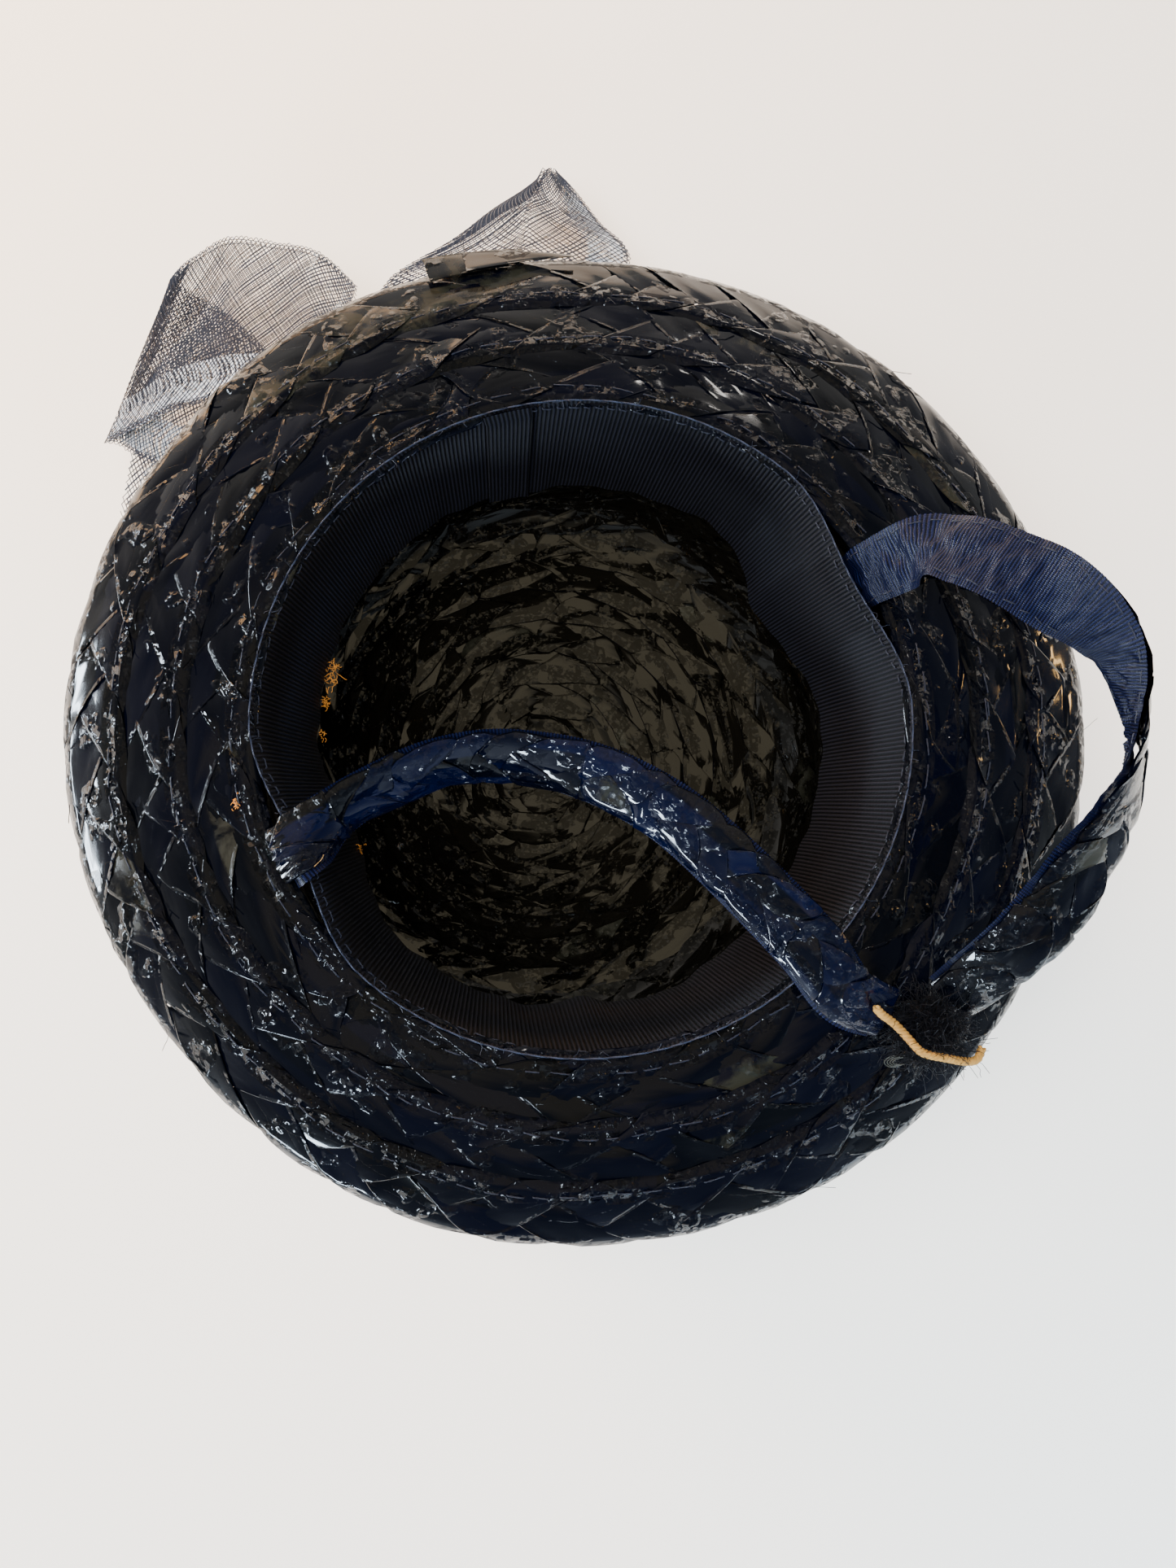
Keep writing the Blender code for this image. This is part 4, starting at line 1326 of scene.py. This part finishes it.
def stitchLine(strands, place, length, lift, dice, reach=stitches["reach"]):
    # place(along, aside, lift) is a point on the stitched line
    along = dice.uniform(0.0, 0.003)
    while along < length:
        long, lean = reach * dice.uniform(0.7, 1.2), stitches["lean"] * dice.uniform(-1, 1)
        for ply in (-1.0, 1.0):
            line = []
            for k in range(7):
                turn = k * stitches["turn"]
                rise = -stitches["dip"] if k in (0, 6) else lift + stitches["swell"] * math.cos(turn) * ply
                aside = lean * (k - 3) / 3 + ply * stitches["apart"] * math.sin(turn)
                line.append(place(along + long * k / 6, aside, rise))
            strands.add(line, dice.uniform(0.8, 1.2))
        along += long + stitches["gap"] * dice.uniform(0.7, 1.5)


brimStitches = Strands()
for row in range(3):
    along = rowMiddle(row) + pinchSide * brimPlait["width"]
    length = math.tau * (brimInner + brimFall(along)[0])

    def onRow(distance, aside, lift):
        drift = 0.0004 * math.sin(distance * 160 + row) + 0.0003 * math.sin(distance * 63) + aside
        return brimPoint(360.0 * distance / length, along + drift, lift - pinchSide * brimPlait["lap"])

    stitchLine(brimStitches, onRow, length, 0.00058, dice)
brimStitches.grow("brimStitches", "lacquered_straw", stitches["thread"], 4, darkCotton)

# the band's upper edge: a line of stitches, and a fine cord whose turns stand as far apart as the ribs
bandStitches, edgeCord = Strands(), Strands()


def onBand(distance, aside, lift):
    return bandPoint(360.0 * distance / bandLength, 0.0019 + aside, lift)


stitchLine(bandStitches, onBand, bandLength, 0.00056, dice, 0.0024)
bandEdge = {"ply": 0.00011, "out": 0.00010, "stepsPerTurn": 5}
turns = round(bandLength / band["ribPitch"])
for ply in range(2):
    line = []
    for k in range(turns * bandEdge["stepsPerTurn"] + 1):
        angle = math.tau * (k / bandEdge["stepsPerTurn"] + ply / 2)
        drop, lift = bandEdge["out"] * math.cos(angle), bandEdge["out"] * math.sin(angle)
        line.append(bandPoint(360.0 * k / (turns * bandEdge["stepsPerTurn"]), drop, lift))
    edgeCord.add(line)
bandStitches.grow("bandStitches", "grosgrain", stitches["thread"], 4, darkCotton)
edgeCord.grow("bandEdgeCord", "grosgrain", bandEdge["ply"], 3, edgeCotton)

for half, path in halves.items():
    strands = Strands()
    for side in (-0.80, 0.80):

        def onLining(along, aside, lift):
            return liningPoint(half, along, side, lift, aside)

        stitchLine(strands, onLining, path[-1][0], 0.00034, dice, 0.0030)
    strands.grow("strapStitches" + half, "grosgrain", stitches["thread"] * 0.8, 4, darkCotton)

# Loose ends: splinters of straw on the brim, bits of orange thread, frayed fibres and one pale straw end
looseEnds = {
    "splinters": 110,
    "length": (0.0016, 0.0046),
    "rise": (0.15, 0.9),
    "splinter": 0.00016,
    "orange": 0.00007,
    "frayed": 150,
    "fibre": 0.00006,
    "paleLoops": 4,
    "pale": 0.00020,
}
splinters, orange, dark, paleEnd = Strands(), Strands(), Strands(), Strands()
for _ in range(looseEnds["splinters"]):
    row, azimuth = dice.randrange(3), dice.uniform(0, 360)
    along = rowMiddle(row) + brimPlait["width"] * dice.choice((-0.46, pinchSide, 0.40))
    start = brimPoint(azimuth, along, 0.0006)
    up = (brimPoint(azimuth, along, 0.0016) - start).normalized()
    aside = (brimPoint(azimuth + 1.0, along, 0.0006) - start).normalized() * dice.choice((-1, 1))
    out = up.cross(aside) * dice.uniform(-0.8, 0.8)
    direction = aside + out + up * dice.uniform(*looseEnds["rise"])
    splinters.wander(start, direction, dice.uniform(*looseEnds["length"]), 3, 0.12, dice.uniform(0.6, 1.3), dice)
splinters.grow("strawSplinters", "lacquered_straw", looseEnds["splinter"], 4, lacqueredStraw, 0.3)

# each bit: where it is, how long and how many fibres
orangeBits = [
    (bandPoint(166.0, hat["bandWidth"] + 0.0008, 0.0012), 0.0050, 16),
    (bandPoint(172.0, hat["bandWidth"] + 0.0014, 0.0010), 0.0040, 10),
    (bandPoint(180.0, hat["bandWidth"] + 0.0010, 0.0008), 0.0026, 6),
    (brimPoint(194.0, 0.0032, 0.0018), 0.0022, 8),
    (bandPoint(209.0, hat["bandWidth"] * 0.9, 0.0010), 0.0022, 6),
]
for place, length, count in orangeBits:
    for _ in range(2 * count):
        direction = Vector((dice.gauss(0.1, 0.5), dice.gauss(0, 1), dice.gauss(0.2, 0.3)))
        start = place + Vector((dice.gauss(0, 0.12), dice.gauss(0, 0.30), dice.gauss(0, 0.10))) * length
        orange.wander(start, direction, length * dice.uniform(0.2, 0.6), 6, 0.5, dice.uniform(0.6, 1.2), dice)
orange.grow("orangeThreadEnds", "cotton_thread", looseEnds["orange"], 4, orangeCotton)

# frayed fibres along the band's upper edge, and the strap's cut end beside the tie
for _ in range(looseEnds["frayed"]):
    place = bandPoint(dice.uniform(0, 360), 0.0, 0.0004)
    direction = Vector((dice.gauss(0, 1), dice.gauss(0, 1), dice.uniform(0.1, 0.6)))
    dark.wander(place, direction, dice.uniform(0.0008, 0.0028), 5, 0.35, dice.uniform(0.5, 1.0), dice)
dark.grow("frayedBandEdge", "grosgrain", looseEnds["fibre"], 3, darkCotton)
for turn in range(looseEnds["paleLoops"]):
    loop = []
    for k in range(9):
        angle = math.pi * k / 8
        x = -0.86 - 0.26 * math.sin(angle) + 0.05 * turn
        y = -0.66 + (0.15 - 0.02 * turn) * math.cos(angle)
        loop.append(fromAxes(tuftMiddle, axes, (x, y, 0.3 + 0.13 * turn)))
    paleEnd.add(loop)
paleEnd.grow("paleStrawEnd", "lacquered_straw", looseEnds["pale"], 5, paleStraw, 0.5)

# Floor and light
floorLook = {"size": 3.0, "colour": (0.80, 0.750, 0.675)}
floorMesh = bpy.data.meshes.new("floor")
half = floorLook["size"] / 2
floorMesh.from_pydata([(-half, -half, 0), (half, -half, 0), (half, half, 0), (-half, half, 0)], [], [(0, 1, 2, 3)])
floor = newObject("floor", floorMesh)
material, tree, shader = newMaterial("pale floor")
fill(tree, shader, {"Base Color": (*floorLook["colour"], 1.0), "Roughness": 0.6})
floorMesh.materials.append(material)

# each light: place, size, power, colour, and whether it shows in gloss
lights = [
    ("window", (-1.38, 0.10, 0.25), (0.8, 0.09), 30.0, (0.76, 0.88, 1.0), True),
    ("nearWindow", (-0.80, -1.10, 0.46), (0.5, 0.10), 20.0, (0.70, 0.85, 1.0), True),
    ("lamp", (1.35, 0.35, 0.36), (0.15, 0.06), 1.7, (1.0, 0.60, 0.22), True),
    ("doorway", (0.50, 1.30, 0.60), (0.12, 0.05), 1.2, (1.0, 0.95, 0.88), True),
    ("overhead", (-0.35, 0.05, 1.5), (1.3, 1.3), 84.0, (0.97, 0.985, 1.0), False),
    ("morning", (0.50, -0.62, 0.24), (0.35, 0.14), 13.0, (0.42, 0.68, 1.0), False),
    ("evening", (-0.58, 0.66, 0.20), (0.35, 0.14), 34.0, (1.0, 0.50, 0.14), False),
]
for name, place, size, power, colour, inGloss in lights:
    data = bpy.data.lights.new(name, "AREA")
    data.shape = "RECTANGLE"
    data.size, data.size_y = size
    data.energy = power
    data.color = colour
    light = newObject(name, data)
    light.location = place
    light.rotation_euler = (Vector((0, 0, 0.05)) - Vector(place)).to_track_quat("-Z", "Y").to_euler()
    light.visible_glossy = inGloss

# World: bright low down and dim overhead
surround = {
    "strength": 1.0,
    "heights": [(0.0, 1.2), (0.22, 0.9), (0.38, 0.5), (0.58, 0.30), (0.8, 0.13), (1.0, 0.10)],
    "towardsLeft": 0.45,
    "warm": (1.0, 0.94, 0.85),
    "cool": (0.76, 0.89, 1.0),
    "ceiling": [(0.77, 0.0), (0.91, (0.50, 0.42, 0.26))],  # a warm patch straight overhead
}
world = bpy.data.worlds.new("studio")
world.use_nodes = True
tree = world.node_tree
direction = addNode(tree, "ShaderNodeTexCoord").outputs["Generated"]
parts = addNode(tree, "ShaderNodeSeparateXYZ", {"Vector": direction}).outputs
towardsWarm = mathOf(tree, "SUBTRACT", times(tree, parts["Y"], 0.5), times(tree, parts["X"], 0.25))
hue = mixOf(tree, mathOf(tree, "ADD", towardsWarm, 0.5, True), surround["cool"], surround["warm"])
side = mathOf(tree, "SUBTRACT", 1.0, times(tree, parts["X"], surround["towardsLeft"]))
bright = mixOf(tree, 1.0, rampOf(tree, parts["Z"], surround["heights"]), side, "MULTIPLY")
ceiling = rampOf(tree, parts["Z"], surround["ceiling"])
glow = mixOf(tree, 1.0, mixOf(tree, 1.0, bright, hue, "MULTIPLY"), ceiling, "ADD")
fill(tree, tree.nodes["Background"], {"Color": glow, "Strength": surround["strength"]})
bpy.context.scene.world = world
